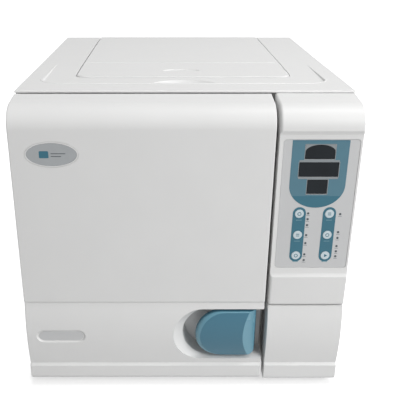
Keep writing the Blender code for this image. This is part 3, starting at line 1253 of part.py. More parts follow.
def build_handle():
    """The pull: round at its free end, crowned across and cut off slant at its shaft."""
    half = HANDLE_HEIGHT / 2
    low = HANDLE_Z - half
    high = HANDLE_Z + half
    corner = HANDLE_CORNER
    crowned = bulge((-HANDLE_EDGE, low), (-HANDLE_EDGE, high), HANDLE_CROWN - HANDLE_EDGE, 10)
    side = [(HANDLE_BACK, high), *crowned, (HANDLE_BACK, low)]
    handle = slab("handle", [side], HANDLE_LEFT, HANDLE_RIGHT, SIDE_PLANE)
    face = arc(HANDLE_LEFT + half, HANDLE_Z, half, 90, 270, 16)
    face += arc(HANDLE_RIGHT - corner, low + corner, corner, 270, 360, 4)
    face += [(HANDLE_RIGHT, high)]
    combine(handle, slab("handle_face", [face], -WIDE, WIDE, FRONT_PLANE), "INTERSECT")
    facet_near = HANDLE_RIGHT - FACET_LENGTH
    facet_far = HANDLE_RIGHT + FACET_LENGTH
    facet_back = FACET_DEPTH - HANDLE_CROWN
    facet = [(facet_near, -HANDLE_CROWN), (HANDLE_RIGHT, facet_back), (facet_far, facet_back),
             (facet_far, -WIDE), (facet_near, -WIDE)]
    cut(handle, slab("handle_facet", [facet], low - RUN, high + RUN, PLAN))
    axis = (SHAFT_X, SHAFT_Y)
    join(handle, rod("handle_hub", HANDLE_HUB_RADIUS, (*axis, low + corner), (*axis, high - RUN), 24))
    cut(handle, rod("handle_bore", SHAFT_RADIUS + SEAT, (*axis, low - RUN), (*axis, high + RUN), 20))
    coat(handle, "teal_plastic", handle_axis)
    top = POCKET_Z + POCKET_HEIGHT / 2 + FASCIA_WALL + RUN
    shaft = rod("handle_shaft", SHAFT_RADIUS, (*axis, HOOK_Z - RUN), (*axis, top), 20)
    coat(shaft, "stainless_steel", handle_axis)
    tip = BULKHEAD_BACK + HOOK_REACH
    half_arm = HOOK_WIDTH / 2
    arm = arc(SHAFT_X, SHAFT_Y, HOOK_RADIUS, 180 - 45, 360 + 45, 16)
    nose = BULKHEAD_BACK + RUN
    arm += [(SHAFT_X + half_arm, nose), (SHAFT_X + half_arm + HOOK_NOSE, nose),
            (SHAFT_X + half_arm, tip), (SHAFT_X - half_arm, tip)]
    hook = slab("latch_hook", [arm], HOOK_Z, HOOK_Z + HOOK_THICKNESS, PLAN)
    cut(hook, rod("hook_bore", SHAFT_RADIUS + SEAT, (*axis, HOOK_Z - RUN),
                  (*axis, HOOK_Z + HOOK_THICKNESS + RUN), 20))
    coat(hook, "zinc_steel", handle_axis)


WIDE = 2 * HALF_WIDTH

clear_scene()
parts = new_collection("autoclave")
cutters = new_collection("cutters")
datum = new_axis("datum", (0, -BODY_DEPTH / 2, 0))
door_axis = new_axis("door_axis", (HINGE_X, HINGE_Y, CHAMBER_Z), datum)
handle_axis = new_axis("handle_axis", (SHAFT_X, SHAFT_Y, HANDLE_Z), datum)
lid_axis = new_axis("lid_axis", (0, LID_ROD_Y, LID_ROD_Z), datum)
flap_axis = new_axis("flap_axis", (FLAP_PIVOT_X, FLAP_PIVOT_Y, FLAP_BOTTOM), datum)
bolt_axis = new_axis("bolt_axis", (COLUMN_LEFT, BOLT_Y, BOLT_Z), datum)
fan_axis = new_axis("fan_axis", (BAY_X, REAR_Y, FAN_Z), datum)
rocker_axis = new_axis("rocker_axis", rocker_centre(), datum)
key_axes = {}
for key_name, key_x, key_z in key_places():
    key_axes[key_name] = new_axis(key_name + "_axis", (key_x, MEMBRANE_FACE, key_z), datum)

build_base()
build_side_panels()
build_bulkhead()
build_rear_panel()
build_top_cover()
build_lid()
build_tank()
build_chamber()
build_cradle()
build_rack()
build_machinery()
build_safety_valve()
build_fan()
build_inlet()
build_column()
build_panel()
build_lock()
build_service_bay()
build_service_door()
build_door_shell()
build_door_inside()
build_hinge()
build_handle()
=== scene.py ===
# %% [markdown]
# # A benchtop autoclave, dressed
#
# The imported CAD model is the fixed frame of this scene. Everything below either gives a CAD node a
# real finish or puts a finer piece in its place, and every new piece rides on a CAD body, so the
# door, the lid, the flap and the keys still move.

import math

import bmesh
import bpy
from mathutils import Matrix, Vector


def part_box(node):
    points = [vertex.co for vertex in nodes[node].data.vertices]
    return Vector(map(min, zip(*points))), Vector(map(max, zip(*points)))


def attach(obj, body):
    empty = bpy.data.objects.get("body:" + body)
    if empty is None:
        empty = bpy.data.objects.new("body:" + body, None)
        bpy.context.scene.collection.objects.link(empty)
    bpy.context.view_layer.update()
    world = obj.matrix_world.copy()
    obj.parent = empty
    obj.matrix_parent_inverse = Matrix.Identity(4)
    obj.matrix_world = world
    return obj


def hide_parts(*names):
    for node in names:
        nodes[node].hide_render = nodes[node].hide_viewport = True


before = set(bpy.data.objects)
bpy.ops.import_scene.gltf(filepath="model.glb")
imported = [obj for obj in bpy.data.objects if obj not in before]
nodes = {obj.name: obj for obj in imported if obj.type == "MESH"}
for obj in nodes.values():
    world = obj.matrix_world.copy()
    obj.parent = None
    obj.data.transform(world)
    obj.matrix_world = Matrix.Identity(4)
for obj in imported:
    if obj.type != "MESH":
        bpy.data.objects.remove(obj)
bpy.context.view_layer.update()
scene = bpy.context.scene
scene.view_settings.view_transform = "Standard"

# %% [markdown]
# ## Working in millimetres
#
# Places count right from the middle, back from the flat face of the door, and up from the table. One
# small function turns such a place into the scene's metres, so that all the numbers below can be read
# straight off a ruler.

# %% Places and objects
MM = 0.001
DOOR_FACE = -289 * MM
CLOSE = 0.02 * MM


def spot(across, back, up):
    """A place in millimetres: right of the middle, back from the door's face, up from the table."""
    return Vector((across * MM, DOOR_FACE + back * MM, up * MM))


def as_object(name, shape):
    """Turn a bmesh into an object of the scene; the bmesh is used up."""
    mesh = bpy.data.meshes.new(name)
    shape.to_mesh(mesh)
    shape.free()
    made = bpy.data.objects.new(name, mesh)
    scene.collection.objects.link(made)
    return made


print("Middle of the door's face at table height:", spot(0, 0, 0))

# %% [markdown]
# ## The camera
#
# The picture was taken from above and almost square on, from a little left of the machine's middle. A
# sideways shift of the lens, as on a view camera, sets where the machine stands in the picture.

# %% Set up the camera
LOOK_DOWN = 22.871
camera_data = bpy.data.cameras.new("studio_camera")
camera_data.lens = 56.33
camera_data.sensor_width = 36
camera_data.shift_x = 0.0797
camera = bpy.data.objects.new("studio_camera", camera_data)
camera.location = (-0.0252, -1.0942, 0.6595)
camera.rotation_euler = (math.radians(90 - LOOK_DOWN), 0, math.radians(-0.101))
scene.collection.objects.link(camera)
scene.camera = camera
print("Camera looks down by", LOOK_DOWN, "degrees")

# %% [markdown]
# ## A white studio
#
# The machine stands on a white sweep under two large soft lamps, one high on the right and one nearly
# overhead, with pale walls all round. The world shows pure white to the camera and to mirror-like rays,
# but lights the object at a lower level, so white plastic keeps its shading.

# %% Light the studio
AMBIENT = 0.3
LAMPS = {"right_soft_box": ((2.0, -2.2, 2.0), 60), "top_soft_box": ((1.1, -0.6, 3.0), 32)}
LAMP_SIZE = 1.3
AIM = Vector((0, 0, 0.35))


def add_node(tree, kind, inputs, operation=None):
    """A new shader node, with each input linked to a socket or set to a value."""
    node = tree.nodes.new(kind)
    if operation:
        node.operation = operation
    for key, value in inputs.items():
        if isinstance(value, bpy.types.NodeSocket):
            tree.links.new(value, node.inputs[key])
        else:
            node.inputs[key].default_value = value
    return node


def seen_directly(tree):
    """A socket that is 1 for camera, glossy and transmission rays and 0 for all others."""
    rays = add_node(tree, "ShaderNodeLightPath", {}).outputs
    mirrors = {0: rays["Is Glossy Ray"], 1: rays["Is Transmission Ray"]}
    mirror = add_node(tree, "ShaderNodeMath", mirrors, "MAXIMUM").outputs[0]
    either = {0: rays["Is Camera Ray"], 1: mirror}
    return add_node(tree, "ShaderNodeMath", either, "MAXIMUM").outputs[0]


def scaled(tree, socket, low, high, start=0, end=1):
    """Map a socket that runs from start to end to the range from low to high."""
    inputs = {"Value": socket, "From Min": start, "From Max": end, "To Min": low, "To Max": high}
    return add_node(tree, "ShaderNodeMapRange", inputs).outputs["Result"]


world = bpy.data.worlds.new("white_walls")
world.use_nodes = True
scene.world = world
walls = world.node_tree.nodes["Background"].inputs
walls["Color"].default_value = (1, 1, 1, 1)
wall_strength = scaled(world.node_tree, seen_directly(world.node_tree), AMBIENT, 1)
world.node_tree.links.new(wall_strength, walls["Strength"])

for name, (place, watts) in LAMPS.items():
    lamp_data = bpy.data.lights.new(name, "AREA")
    lamp_data.energy = watts
    lamp_data.size = LAMP_SIZE
    lamp = bpy.data.objects.new(name, lamp_data)
    lamp.location = place
    lamp.rotation_euler = (AIM - lamp.location).to_track_quat("-Z", "Y").to_euler()
    scene.collection.objects.link(lamp)
print("Lamps:", list(LAMPS), "and walls at", AMBIENT)

# %% [markdown]
# ## The floor
#
# It glows for the camera and for mirror-like rays alone, more with the distance from the machine's
# footprint, so it goes white all round and keeps the contact shadow.

# %% Lay the floor
ALBEDO = 0.6
GLOW_NEAR = 0.56
GLOW_FAR = 1.0
SHADOW_REACH = 0.017
FOOTPRINT = (0.24, 0.298, 0)

floor_shape = bmesh.new()
bmesh.ops.create_grid(floor_shape, x_segments=1, y_segments=1, size=20)
floor = as_object("studio_floor", floor_shape)
floor_paint = bpy.data.materials.new("floor_paint")
floor_paint.use_nodes = True
floor.data.materials.append(floor_paint)
tree = floor_paint.node_tree
tree.nodes.remove(tree.nodes["Principled BSDF"])
place = add_node(tree, "ShaderNodeTexCoord", {}).outputs["Object"]
quarter = add_node(tree, "ShaderNodeVectorMath", {0: place}, "ABSOLUTE").outputs["Vector"]
outside = add_node(tree, "ShaderNodeVectorMath", {0: quarter, 1: FOOTPRINT}, "SUBTRACT").outputs["Vector"]
beyond = add_node(tree, "ShaderNodeVectorMath", {0: outside}, "MAXIMUM").outputs["Vector"]
away = add_node(tree, "ShaderNodeVectorMath", {0: beyond}, "LENGTH").outputs["Value"]
rise = scaled(tree, away, GLOW_NEAR, GLOW_FAR, 0, SHADOW_REACH)
strength = add_node(tree, "ShaderNodeMath", {0: rise, 1: seen_directly(tree)}, "MULTIPLY").outputs[0]
glow = add_node(tree, "ShaderNodeEmission", {"Strength": strength}).outputs[0]
matt = add_node(tree, "ShaderNodeBsdfDiffuse", {"Color": (ALBEDO, ALBEDO, ALBEDO, 1)}).outputs[0]
both = add_node(tree, "ShaderNodeAddShader", {0: matt, 1: glow}).outputs[0]
tree.links.new(both, tree.nodes["Material Output"].inputs["Surface"])
print("Floor albedo", ALBEDO)

# %% [markdown]
# ## Moulded and painted finishes
#
# Nothing on a real machine is one flat colour. Moulded plastic has a fine spark-eroded grain and
# flows of slightly different tone, and paint has an orange-peel surface. Each finish below is one
# Principled shader: a slow noise moves its colour and roughness by a few percent, and a fine noise
# makes the grain through a Bump node.

# %% Mix the plastics, films and rubbers
def new_finish(name, metal):
    """A new material and its node tree."""
    material = bpy.data.materials.new(name)
    material.use_nodes = True
    material.node_tree.nodes["Principled BSDF"].inputs["Metallic"].default_value = metal
    return material, material.node_tree


def feed(tree, socket, name):
    """Link a socket to one input of the tree's shader."""
    tree.links.new(socket, tree.nodes["Principled BSDF"].inputs[name])


def add_noise(tree, scale, detail, stretch=None):
    """A noise texture on the piece's own coordinates, stretched per axis if asked."""
    place = add_node(tree, "ShaderNodeTexCoord", {}).outputs["Object"]
    if stretch:
        place = add_node(tree, "ShaderNodeMapping", {"Vector": place, "Scale": stretch}).outputs["Vector"]
    inputs = {"Vector": place, "Scale": scale, "Detail": detail}
    return add_node(tree, "ShaderNodeTexNoise", inputs).outputs["Fac"]


def tint(tree, socket, colour, spread):
    """Colour the shader with a ramp a little darker to a little lighter than the given colour."""
    ramp = add_node(tree, "ShaderNodeValToRGB", {"Fac": socket})
    for element, position, gain in zip(ramp.color_ramp.elements, (0.3, 0.7), (1 - spread, 1 + spread)):
        element.position = position
        element.color = (*[min(part * gain, 1) for part in colour], 1)
    feed(tree, ramp.outputs["Color"], "Base Color")


def emboss(tree, socket, height, strength):
    """Use a texture as the height of the surface grain, in metres."""
    inputs = {"Height": socket, "Distance": height, "Strength": strength}
    feed(tree, add_node(tree, "ShaderNodeBump", inputs).outputs["Normal"], "Normal")


def moulded(name, colour, rough, spread=0.02, grain=1400, height=0.00002, mottle=14, metal=0.0):
    """A finish whose tone and gloss wander a little over a fine even grain."""
    material, tree = new_finish(name, metal)
    flow = add_noise(tree, mottle, 4)
    tint(tree, flow, colour, spread)
    feed(tree, scaled(tree, flow, rough - 0.06, rough + 0.06), "Roughness")
    emboss(tree, add_noise(tree, grain, 2), height, 0.35)
    return material


white_plastic = moulded("white_plastic_grain", (0.78, 0.78, 0.775), 0.42, 0.012)
teal_plastic = moulded("teal_plastic_grain", (0.058, 0.174, 0.246), 0.34, 0.03)
# A lighter copy of the teal: a painted highlight on the handle's edges and slanted facet.
teal_painted_highlight = moulded("teal_plastic_painted_highlight", (0.118, 0.288, 0.375), 0.26, 0.04)
painted_steel = moulded("painted_steel_peel", (0.76, 0.76, 0.755), 0.38, 0.015, 380, 0.00004)
film_grey = moulded("film_grey_print", (0.595, 0.6, 0.605), 0.36, 0.01, 2600, 0.000008, 40)
film_shield = moulded("film_shield_print", (0.068, 0.18, 0.24), 0.36, 0.03, 2600, 0.000008, 40)
film_teal = moulded("film_teal_print", (0.018, 0.13, 0.19), 0.36, 0.03, 2600, 0.000008, 40)
film_pale = moulded("film_pale_print", (0.6, 0.69, 0.73), 0.34, 0.015, 2600, 0.000008, 60)
film_line = moulded("film_line_print", (0.26, 0.285, 0.3), 0.38, 0.02, 2600, 0.000008, 60)
film_faint = moulded("film_faint_print", (0.16, 0.31, 0.38), 0.36, 0.03, 2600, 0.000008, 60)
film_dark = moulded("film_dark_print", (0.06, 0.075, 0.085), 0.4, 0.05, 2600, 0.000008, 90)
smoked_glass = moulded("smoked_glass", (0.016, 0.02, 0.024), 0.14, 0.12, 300, 0.000004, 30)
for finish, level in ((smoked_glass, 0.1), (teal_plastic, 0.36)):
    finish.node_tree.nodes["Principled BSDF"].inputs["Specular IOR Level"].default_value = level
badge_silver = moulded("badge_silver_foil", (0.32, 0.335, 0.345), 0.36, 0.03, 1800, 0.00001, 60, 0.35)
silicone = moulded("silicone_seal", (0.62, 0.6, 0.54), 0.55, 0.04, 900, 0.00003, 30)
black_rubber = moulded("black_rubber_foot", (0.025, 0.025, 0.026), 0.75, 0.15, 700, 0.00005, 60)
dark_plastic = moulded("dark_plastic_grain", (0.028, 0.029, 0.031), 0.5, 0.1, 900, 0.00003, 60)
tank_plastic = moulded("tank_plastic_milk", (0.66, 0.7, 0.72), 0.34, 0.02, 600, 0.00002, 20)
foil_wrap = moulded("foil_wrap_creases", (0.62, 0.62, 0.6), 0.4, 0.08, 110, 0.0006, 25, 0.6)
board_green = moulded("board_green_mask", (0.025, 0.15, 0.06), 0.4, 0.12, 420, 0.00005, 130)
motor_grey = moulded("motor_grey_casting", (0.19, 0.2, 0.21), 0.55, 0.08, 320, 0.00008, 40, 0.2)
print("Moulded finishes:", len(bpy.data.materials) - 1)

# %% [markdown]
# ## Metal finishes
#
# Sheet steel is brushed in one direction, so its noise is stretched along the brush. A lathe leaves
# fine rings round the axis it turned on, and a Mapping node moves the ring texture to that axis.

# %% Brush and turn the metals
CHAMBER_X = -59.5
CHAMBER_UP = 232


def brushed(name, colour, rough, stretch, metal=1.0):
    """Metal with fine lines: stretch is small along the brush and large across it."""
    material, tree = new_finish(name, metal)
    lines = add_noise(tree, 1, 5, stretch)
    tint(tree, lines, colour, 0.06)
    feed(tree, scaled(tree, lines, rough - 0.08, rough + 0.1), "Roughness")
    emboss(tree, lines, 0.00003, 0.4)
    return material


def lathe_turned(name, colour, rough, across, up, pitch=0.0016):
    """Metal with rings round an axis that runs from front to back."""
    material, tree = new_finish(name, 1)
    place = add_node(tree, "ShaderNodeTexCoord", {}).outputs["Object"]
    inputs = {"Vector": place, "Location": (-across * MM, 0, -up * MM)}
    centred = add_node(tree, "ShaderNodeMapping", inputs).outputs["Vector"]
    inputs = {"Vector": centred, "Scale": 0.314 / pitch, "Distortion": 0.6, "Detail": 3}
    wave = add_node(tree, "ShaderNodeTexWave", inputs)
    wave.wave_type = "RINGS"
    wave.rings_direction = "Y"
    rings = wave.outputs["Fac"]
    tint(tree, add_noise(tree, 18, 3), colour, 0.05)
    feed(tree, scaled(tree, rings, rough - 0.05, rough + 0.08), "Roughness")
    emboss(tree, rings, 0.00002, 0.3)
    return material


steel_sheet = brushed("stainless_sheet", (0.46, 0.46, 0.45), 0.32, (6, 400, 400))
steel_tray = brushed("stainless_tray", (0.58, 0.58, 0.57), 0.28, (300, 8, 300))
steel_turned = lathe_turned("stainless_turned", (0.5, 0.5, 0.49), 0.26, CHAMBER_X, CHAMBER_UP)
zinc_steel = brushed("zinc_plated", (0.44, 0.45, 0.47), 0.4, (60, 60, 60), 0.9)
brass = brushed("brass_turned", (0.58, 0.41, 0.16), 0.3, (500, 40, 500))
print("Finishes with the metals:", len(bpy.data.materials) - 1)

# %% [markdown]
# ## The door casing: a profile pushed sideways
#
# The door, the column and the flap look like one long extrusion: a rolled top edge, a flat face, a
# groove, a bowed band and a strip along the foot. A profile of a few corners is enough to start,
# because bevels make the rounds afterwards: the roll is one bevelled edge, and the band is one flat
# face that gets subdivided and bowed.

# %% Shape the door's outside
def verts_of(items):
    """The vertices among the items that an operator has made."""
    return [item for item in items if isinstance(item, bmesh.types.BMVert)]


def bar(profile, left, right):
    """Push a side profile of (back, up) corners sideways from left to right."""
    shape = bmesh.new()
    end = shape.faces.new([shape.verts.new(spot(left, back, up)) for back, up in profile])
    grown = bmesh.ops.extrude_face_region(shape, geom=[end])["geom"]
    bmesh.ops.translate(shape, vec=((right - left) * MM, 0, 0), verts=verts_of(grown))
    bmesh.ops.recalc_face_normals(shape, faces=shape.faces)
    return shape


def soften(shape, geom, radius, steps=3, affect="EDGES"):
    """Round some edges, or the corners of a flat face."""
    bmesh.ops.bevel(shape, geom=geom, offset=radius * MM, offset_type="OFFSET", segments=steps,
                    profile=0.5, affect=affect, clamp_overlap=True, material=-1)


def edges_at(shape, **levels):
    """The edges that lie wholly at the given levels, in millimetres across, back or up."""
    axes = [axis for axis, name in enumerate(("across", "back", "up")) if name in levels]
    goal = spot(levels.get("across", 0), levels.get("back", 0), levels.get("up", 0))
    return [edge for edge in shape.edges
            if all(abs(vert.co[axis] - goal[axis]) < CLOSE for vert in edge.verts for axis in axes)]


def end_edges(shape, back, *ends):
    """The edges round the ends of a bar, apart from those at its back."""
    behind = edges_at(shape, back=back)
    return [edge for across in ends for edge in edges_at(shape, across=across) if edge not in behind]


def round_along(shape, *rounds):
    """Round the edges that run sideways: each round is (back, up, radius, steps)."""
    for back, up, radius, steps in rounds:
        soften(shape, edges_at(shape, back=back, up=up), radius, steps)


def bow(shape, back, low, high, rise):
    """Subdivide the flat band between two heights and bow it forward."""
    face = spot(0, back, 0).y
    uprights = [edge for edge in edges_at(shape, back=back)
                if abs(edge.calc_length() - (high - low) * MM) < CLOSE]
    bmesh.ops.subdivide_edges(shape, edges=uprights, cuts=11, use_grid_fill=True)
    for vert in shape.verts:
        rest = (2 * vert.co.z / MM - low - high) / (high - low)
        if abs(vert.co.y - face) < CLOSE and abs(rest) < 1:
            vert.co.y -= rise * MM * (1 - rest * rest)


DOOR_LEFT = -240
DOOR_RIGHT = 121.5
DOOR_BACK = 60
ROLL = 32.5
door_side = [(DOOR_BACK, 456), (33.5, 452.5), (0, 452.5), (0, 154.5), (2, 151), (2, 42), (-1.5, 38.5),
             (-1.5, 13), (DOOR_BACK, 13)]
casing = bar(door_side, DOOR_LEFT, DOOR_RIGHT)
bow(casing, 2, 42, 151, 6)
round_along(casing, (0, 452.5, ROLL, 14), (0, 154.5, 1.2, 3), (-1.5, 13, 7.5, 6))
soften(casing, end_edges(casing, DOOR_BACK, DOOR_LEFT, DOOR_RIGHT), 1.8)
print("Door outside:", len(casing.faces), "faces")

# %% [markdown]
# ## Hollowing the door and sinking the hand pocket
#
# The pocket is a stadium outline that gets narrower as it goes in: a wide bevel first, then a steep
# wall. Extruding one face step by step and scaling it each time gives just that. A Boolean cuts it
# out. Each cutter leaves its own mark, a material number, on the faces it makes, so the rim that it
# leaves can be found again and rounded.

# %% Cut the hollow, the pocket and the small recesses
MARKS = 6
BADGE = (-182, 386.5)
SHAFT = (103, 16)
BOLT = (32, 182)


def combine(shape, *tools, mark=1, operation="DIFFERENCE"):
    """Boolean a shape with tools in turn; all are used up, and the tools' faces carry the mark."""
    for tool in tools:
        for face in tool.faces:
            face.material_index = mark
        kept = as_object("kept", shape)
        knife = as_object("knife", tool)
        for mesh in (kept.data, knife.data):
            for _ in range(MARKS):
                mesh.materials.append(None)
        cut = kept.modifiers.new("cut", "BOOLEAN")
        cut.operation = operation
        cut.solver = "EXACT"
        cut.object = knife
        shape = bmesh.new()
        shape.from_mesh(kept.evaluated_get(bpy.context.evaluated_depsgraph_get()).to_mesh())
        for used in (kept.data, knife.data):
            bpy.data.meshes.remove(used)
    return shape


def box_between(low, high):
    """A box between two corners of the scene, in metres."""
    shape = bmesh.new()
    bmesh.ops.create_cube(shape, size=1)
    bmesh.ops.scale(shape, vec=high - low, verts=shape.verts)
    bmesh.ops.translate(shape, vec=(low + high) / 2, verts=shape.verts)
    return shape


def block(low, high, radius=0, axis=1, steps=6):
    """A box between two places in millimetres, with its edges along one axis rounded if asked."""
    shape = box_between(spot(*low), spot(*high))
    if radius:
        along = [edge for edge in shape.edges
                 if abs((edge.verts[0].co - edge.verts[1].co).normalized()[axis]) > 0.99]
        soften(shape, along, radius, steps)
    return shape


def rod(start, end, radius, steps=32):
    """A cylinder from one place in millimetres to another."""
    start = spot(*start)
    end = spot(*end)
    turn = (end - start).to_track_quat("Z", "Y").to_matrix().to_4x4()
    shape = bmesh.new()
    bmesh.ops.create_cone(shape, cap_ends=True, segments=steps, radius1=radius * MM, radius2=radius * MM,
                          depth=(end - start).length, matrix=Matrix.Translation((start + end) / 2) @ turn)
    return shape


def peg(across, up, near, far, radius, steps=32):
    """A cylinder that runs from front to back."""
    return rod((across, near, up), (across, far, up), radius, steps)


def oval(across, up, half_width, half_height, near, far):
    """A flat oval block that faces forward."""
    shape = peg(across, up, near, far, 1, 64)
    about = Matrix.Translation(-spot(across, 0, up))
    bmesh.ops.scale(shape, vec=(half_width, 1, half_height), space=about, verts=shape.verts)
    return shape


def hand_pocket(grow):
    """The pocket behind the handle, or with some growth the cup of plastic round it."""
    up = 96
    half = 45 + grow
    left = -15.5 - grow
    depth = -20
    shape = bmesh.new()
    corners = ((212, up - half), (212, up + half), (left, up + half), (left, up - half))
    verts = [shape.verts.new(spot(across, depth, height)) for across, height in corners]
    shape.faces.new(verts)
    soften(shape, verts[2:], half - 0.1, 16, "VERTICES")
    face = shape.faces[:][0]
    for next_depth, inward, draw in ((0, 0, 0), (9, 14, 2), (21, 16, 2), (36 + grow, 18, 2)):
        grown = bmesh.ops.extrude_face_region(shape, geom=[face, *face.edges])["geom"]
        ring = verts_of(grown)
        face = [item for item in grown if isinstance(item, bmesh.types.BMFace)][0]
        bmesh.ops.translate(shape, vec=(0, (next_depth - depth) * MM, 0), verts=ring)
        edge = min(vert.co.x for vert in ring)
        tall = max(vert.co.z for vert in ring) - up * MM
        shrink = (half - draw) * MM / tall
        bmesh.ops.scale(shape, vec=(1, 1, shrink), space=Matrix.Translation((0, 0, -up * MM)), verts=ring)
        bmesh.ops.translate(shape, vec=((left + inward) * MM - edge, 0, 0), verts=ring)
        depth = next_depth
    bmesh.ops.recalc_face_normals(shape, faces=shape.faces)
    return shape


hollow_side = [(61.5, 449.5), (3, 449.5), (3, 419.5), (5, 18.5), (61.5, 18.5)]
hollow = bar(hollow_side, DOOR_LEFT + 3, DOOR_RIGHT - 3)
round_along(hollow, (3, 449.5, 29.5, 12))
hollow = combine(hollow, hand_pocket(3))
lozenge = block((-227, -6, 82), (-148, -1.5, 108.4), 13.1, steps=10)
deep = [vert for vert in lozenge.verts if vert.co.y > spot(0, -2, 0).y]
about = Matrix.Translation(-spot(-187.5, 0, 95.2))
bmesh.ops.scale(lozenge, vec=(0.89, 1, 0.7), space=about, verts=deep)
hinge_notch = block((-243, 47.5, 118.9), (-224, 63, 345.1))
shaft_hole = rod((*SHAFT, 28), (*SHAFT, 186), 4.3, 20)
bolt_socket = rod((117, *BOLT), (123, *BOLT), 5.5, 20)
casing = combine(casing, hollow)
casing = combine(casing, hand_pocket(0), mark=2)
casing = combine(casing, lozenge, mark=3)
casing = combine(casing, oval(*BADGE, 36.9, 18.4, -2, 1), mark=4)
casing = combine(casing, hinge_notch, shaft_hole, bolt_socket, mark=5)
print("Door casing after its cuts:", len(casing.faces), "faces")

# %% [markdown]
# ## Rounding the rims and shading the casing
#
# A sharp rim never catches the light, so the pocket, the badge recess and the bare lozenge get a
# small round each. Big flat faces next to small rounds shade badly, because their corner normals are
# averaged; the Weighted Normal modifier lets the big faces win.

# %% Finish the door casing
def rim(shape, one, two):
    """The edges where faces of two marks meet."""
    return [edge for edge in shape.edges
            if {face.material_index for face in edge.link_faces} == {one, two}]


def bent(edges, degrees=57):
    """Those of some edges where two faces meet at more than an angle."""
    return [edge for edge in edges if edge.calc_face_angle(0) > math.radians(degrees)]


def piece(name, shape, finish, node=None, body="cabinet", sharp=32):
    """Make a bmesh a finished piece: shaded, coated and riding on its body."""
    for face in shape.faces:
        face.material_index = 0
    made = as_object(name, shape)
    made.data.materials.append(finish)
    made.data.shade_smooth()
    made.data.set_sharp_from_angle(angle=math.radians(sharp))
    even = made.modifiers.new("even_shading", "WEIGHTED_NORMAL")
    even.keep_sharp = True
    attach(made, body)
    if node:
        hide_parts(node)
    print(name, "has", len(made.data.polygons), "faces")
    return made


for mark, radius, steps in ((2, 0.9, 3), (3, 0.7, 3), (4, 0.4, 2)):
    soften(casing, rim(casing, 0, mark), radius, steps)
piece("door_casing", casing, white_plastic, "door_shell", "door")

# %% [markdown]
# ## The badge
#
# An oval foil plate sits in its recess behind a thin white bead. The plate gets an inset, so that
# its field lies a little below its edge. Its print is generic: one teal block and two plain lines. The
# lozenge below gets a bare grey plate.

# %% Make the badge
plate = oval(*BADGE, 34.6, 16.3, -0.1, 0.8)
front = min(plate.faces, key=lambda face: face.calc_center_median().y)
bmesh.ops.inset_region(plate, faces=[front], thickness=0.9 * MM, depth=-0.25 * MM)
piece("badge_plate", plate, badge_silver, "capacity_badge", "door")
bead = combine(oval(*BADGE, 36.5, 18, -0.35, 0.8), oval(*BADGE, 34.7, 16.4, -1, 2))
soften(bead, bent(bead.edges), 0.3, 2)
piece("badge_bead", bead, white_plastic, body="door")
badge_block = block((-199, -0.02, 381.5), (-186, 0.3, 391.5), 1.4)
piece("badge_block", badge_block, film_teal, body="door")
for line, right, low in (("upper", -163, 387.4), ("lower", -169, 383.4)):
    stroke = block((-183, -0.02, low), (right, 0.3, low + 1), 0.4)
    piece(f"badge_{line}_line", stroke, film_dark, body="door")
bare_plate = block((-221.5, -2, 87), (-153.5, -1.2, 103.4), 8.1, steps=8)
soften(bare_plate, bent(bare_plate.edges), 0.25, 2)
piece("lozenge_plate", bare_plate, film_grey, body="door")

# %% [markdown]
# ## The handle
#
# The pull is a stadium-ended block, crowned from top to bottom, sliced off slant at its shaft. Its
# rounded left end has a much wider edge than the rest. A bevel whose width is weighted edge by edge
# does this: the weight rises towards the left end, and the Bevel modifier reads it. The modifier also
# gives its new faces the second finish, a lighter teal that paints a highlight along the edges. The
# slanted facet has that finish too, a painted highlight that makes it lighter than the rest.

# %% Make the handle
HANDLE_MIDDLE = 98
HANDLE_HALF = 39
CROWN = 7
FACET = (14, -20, 0)


def slice_at(shape, place, normal, **clear):
    """Cut a shape along a plane, and close it where a side is cleared away."""
    everything = shape.verts[:] + shape.edges[:] + shape.faces[:]
    bmesh.ops.bisect_plane(shape, geom=everything, dist=1e-7, plane_co=place, plane_no=normal, **clear)
    if clear:
        bmesh.ops.holes_fill(shape, edges=[edge for edge in shape.edges if edge.is_boundary])
        bmesh.ops.recalc_face_normals(shape, faces=shape.faces)


pull = block((18, -2, 59), (109.5, 10, 137))
soften(pull, edges_at(pull, across=18, up=59) + edges_at(pull, across=18, up=137), 38.95, 18)
soften(pull, edges_at(pull, across=109.5, up=59), 7, 5)
for lift in range(-32, 33, 4):
    slice_at(pull, spot(0, 0, HANDLE_MIDDLE + lift), (0, 0, 1))
for vert in pull.verts:
    if vert.co.y < spot(0, -1, 0).y:
        reach = (vert.co.z / MM - HANDLE_MIDDLE) / HANDLE_HALF
        vert.co.y -= CROWN * MM * (1 - reach * reach)
slice_at(pull, spot(90, -9, HANDLE_MIDDLE), FACET, clear_outer=True)
pull = combine(pull, rod((*SHAFT, 66), (*SHAFT, 135.5), 9), operation="UNION")
bmesh.ops.remove_doubles(pull, verts=pull.verts, dist=0.2 * MM)
weight = pull.edges.layers.float.new("bevel_weight_edge")
for edge in bent(pull.edges, 28):
    middle = (edge.verts[0].co + edge.verts[1].co) / 2 / MM
    if {face.material_index for face in edge.link_faces} == {0}:
        lean = min(max((59 - middle.x) / HANDLE_HALF, 0), 1)
        edge[weight] = 0.1 if middle.x > 89 else 0.18 + 0.82 * lean
handle = piece("pull_handle", pull, teal_plastic, "handle", "door_handle")
round_edge = handle.modifiers.new("round_edge", "BEVEL")
round_edge.limit_method = "WEIGHT"
round_edge.width = 6.5 * MM
round_edge.segments = 3
round_edge.use_clamp_overlap = False
# The bevel's new faces take the lighter teal, a painted highlight along the edges.
round_edge.material = 1
handle.modifiers.move(1, 0)
handle.data.materials.append(teal_painted_highlight)
# The slanted facet takes the lighter teal too, as a painted highlight.
for face in handle.data.polygons:
    if face.normal.dot(Vector(FACET).normalized()) > 0.99:
        face.material_index = 1

# %% [markdown]
# ## The control column
#
# The column repeats the door's roll. Under it, a soft brow leads into the recessed panel for the
# keys, and a sloped ledge leads out again. The holes for the display, the six keys, the lock bolt and
# the flap's pivot are cut like the door's.

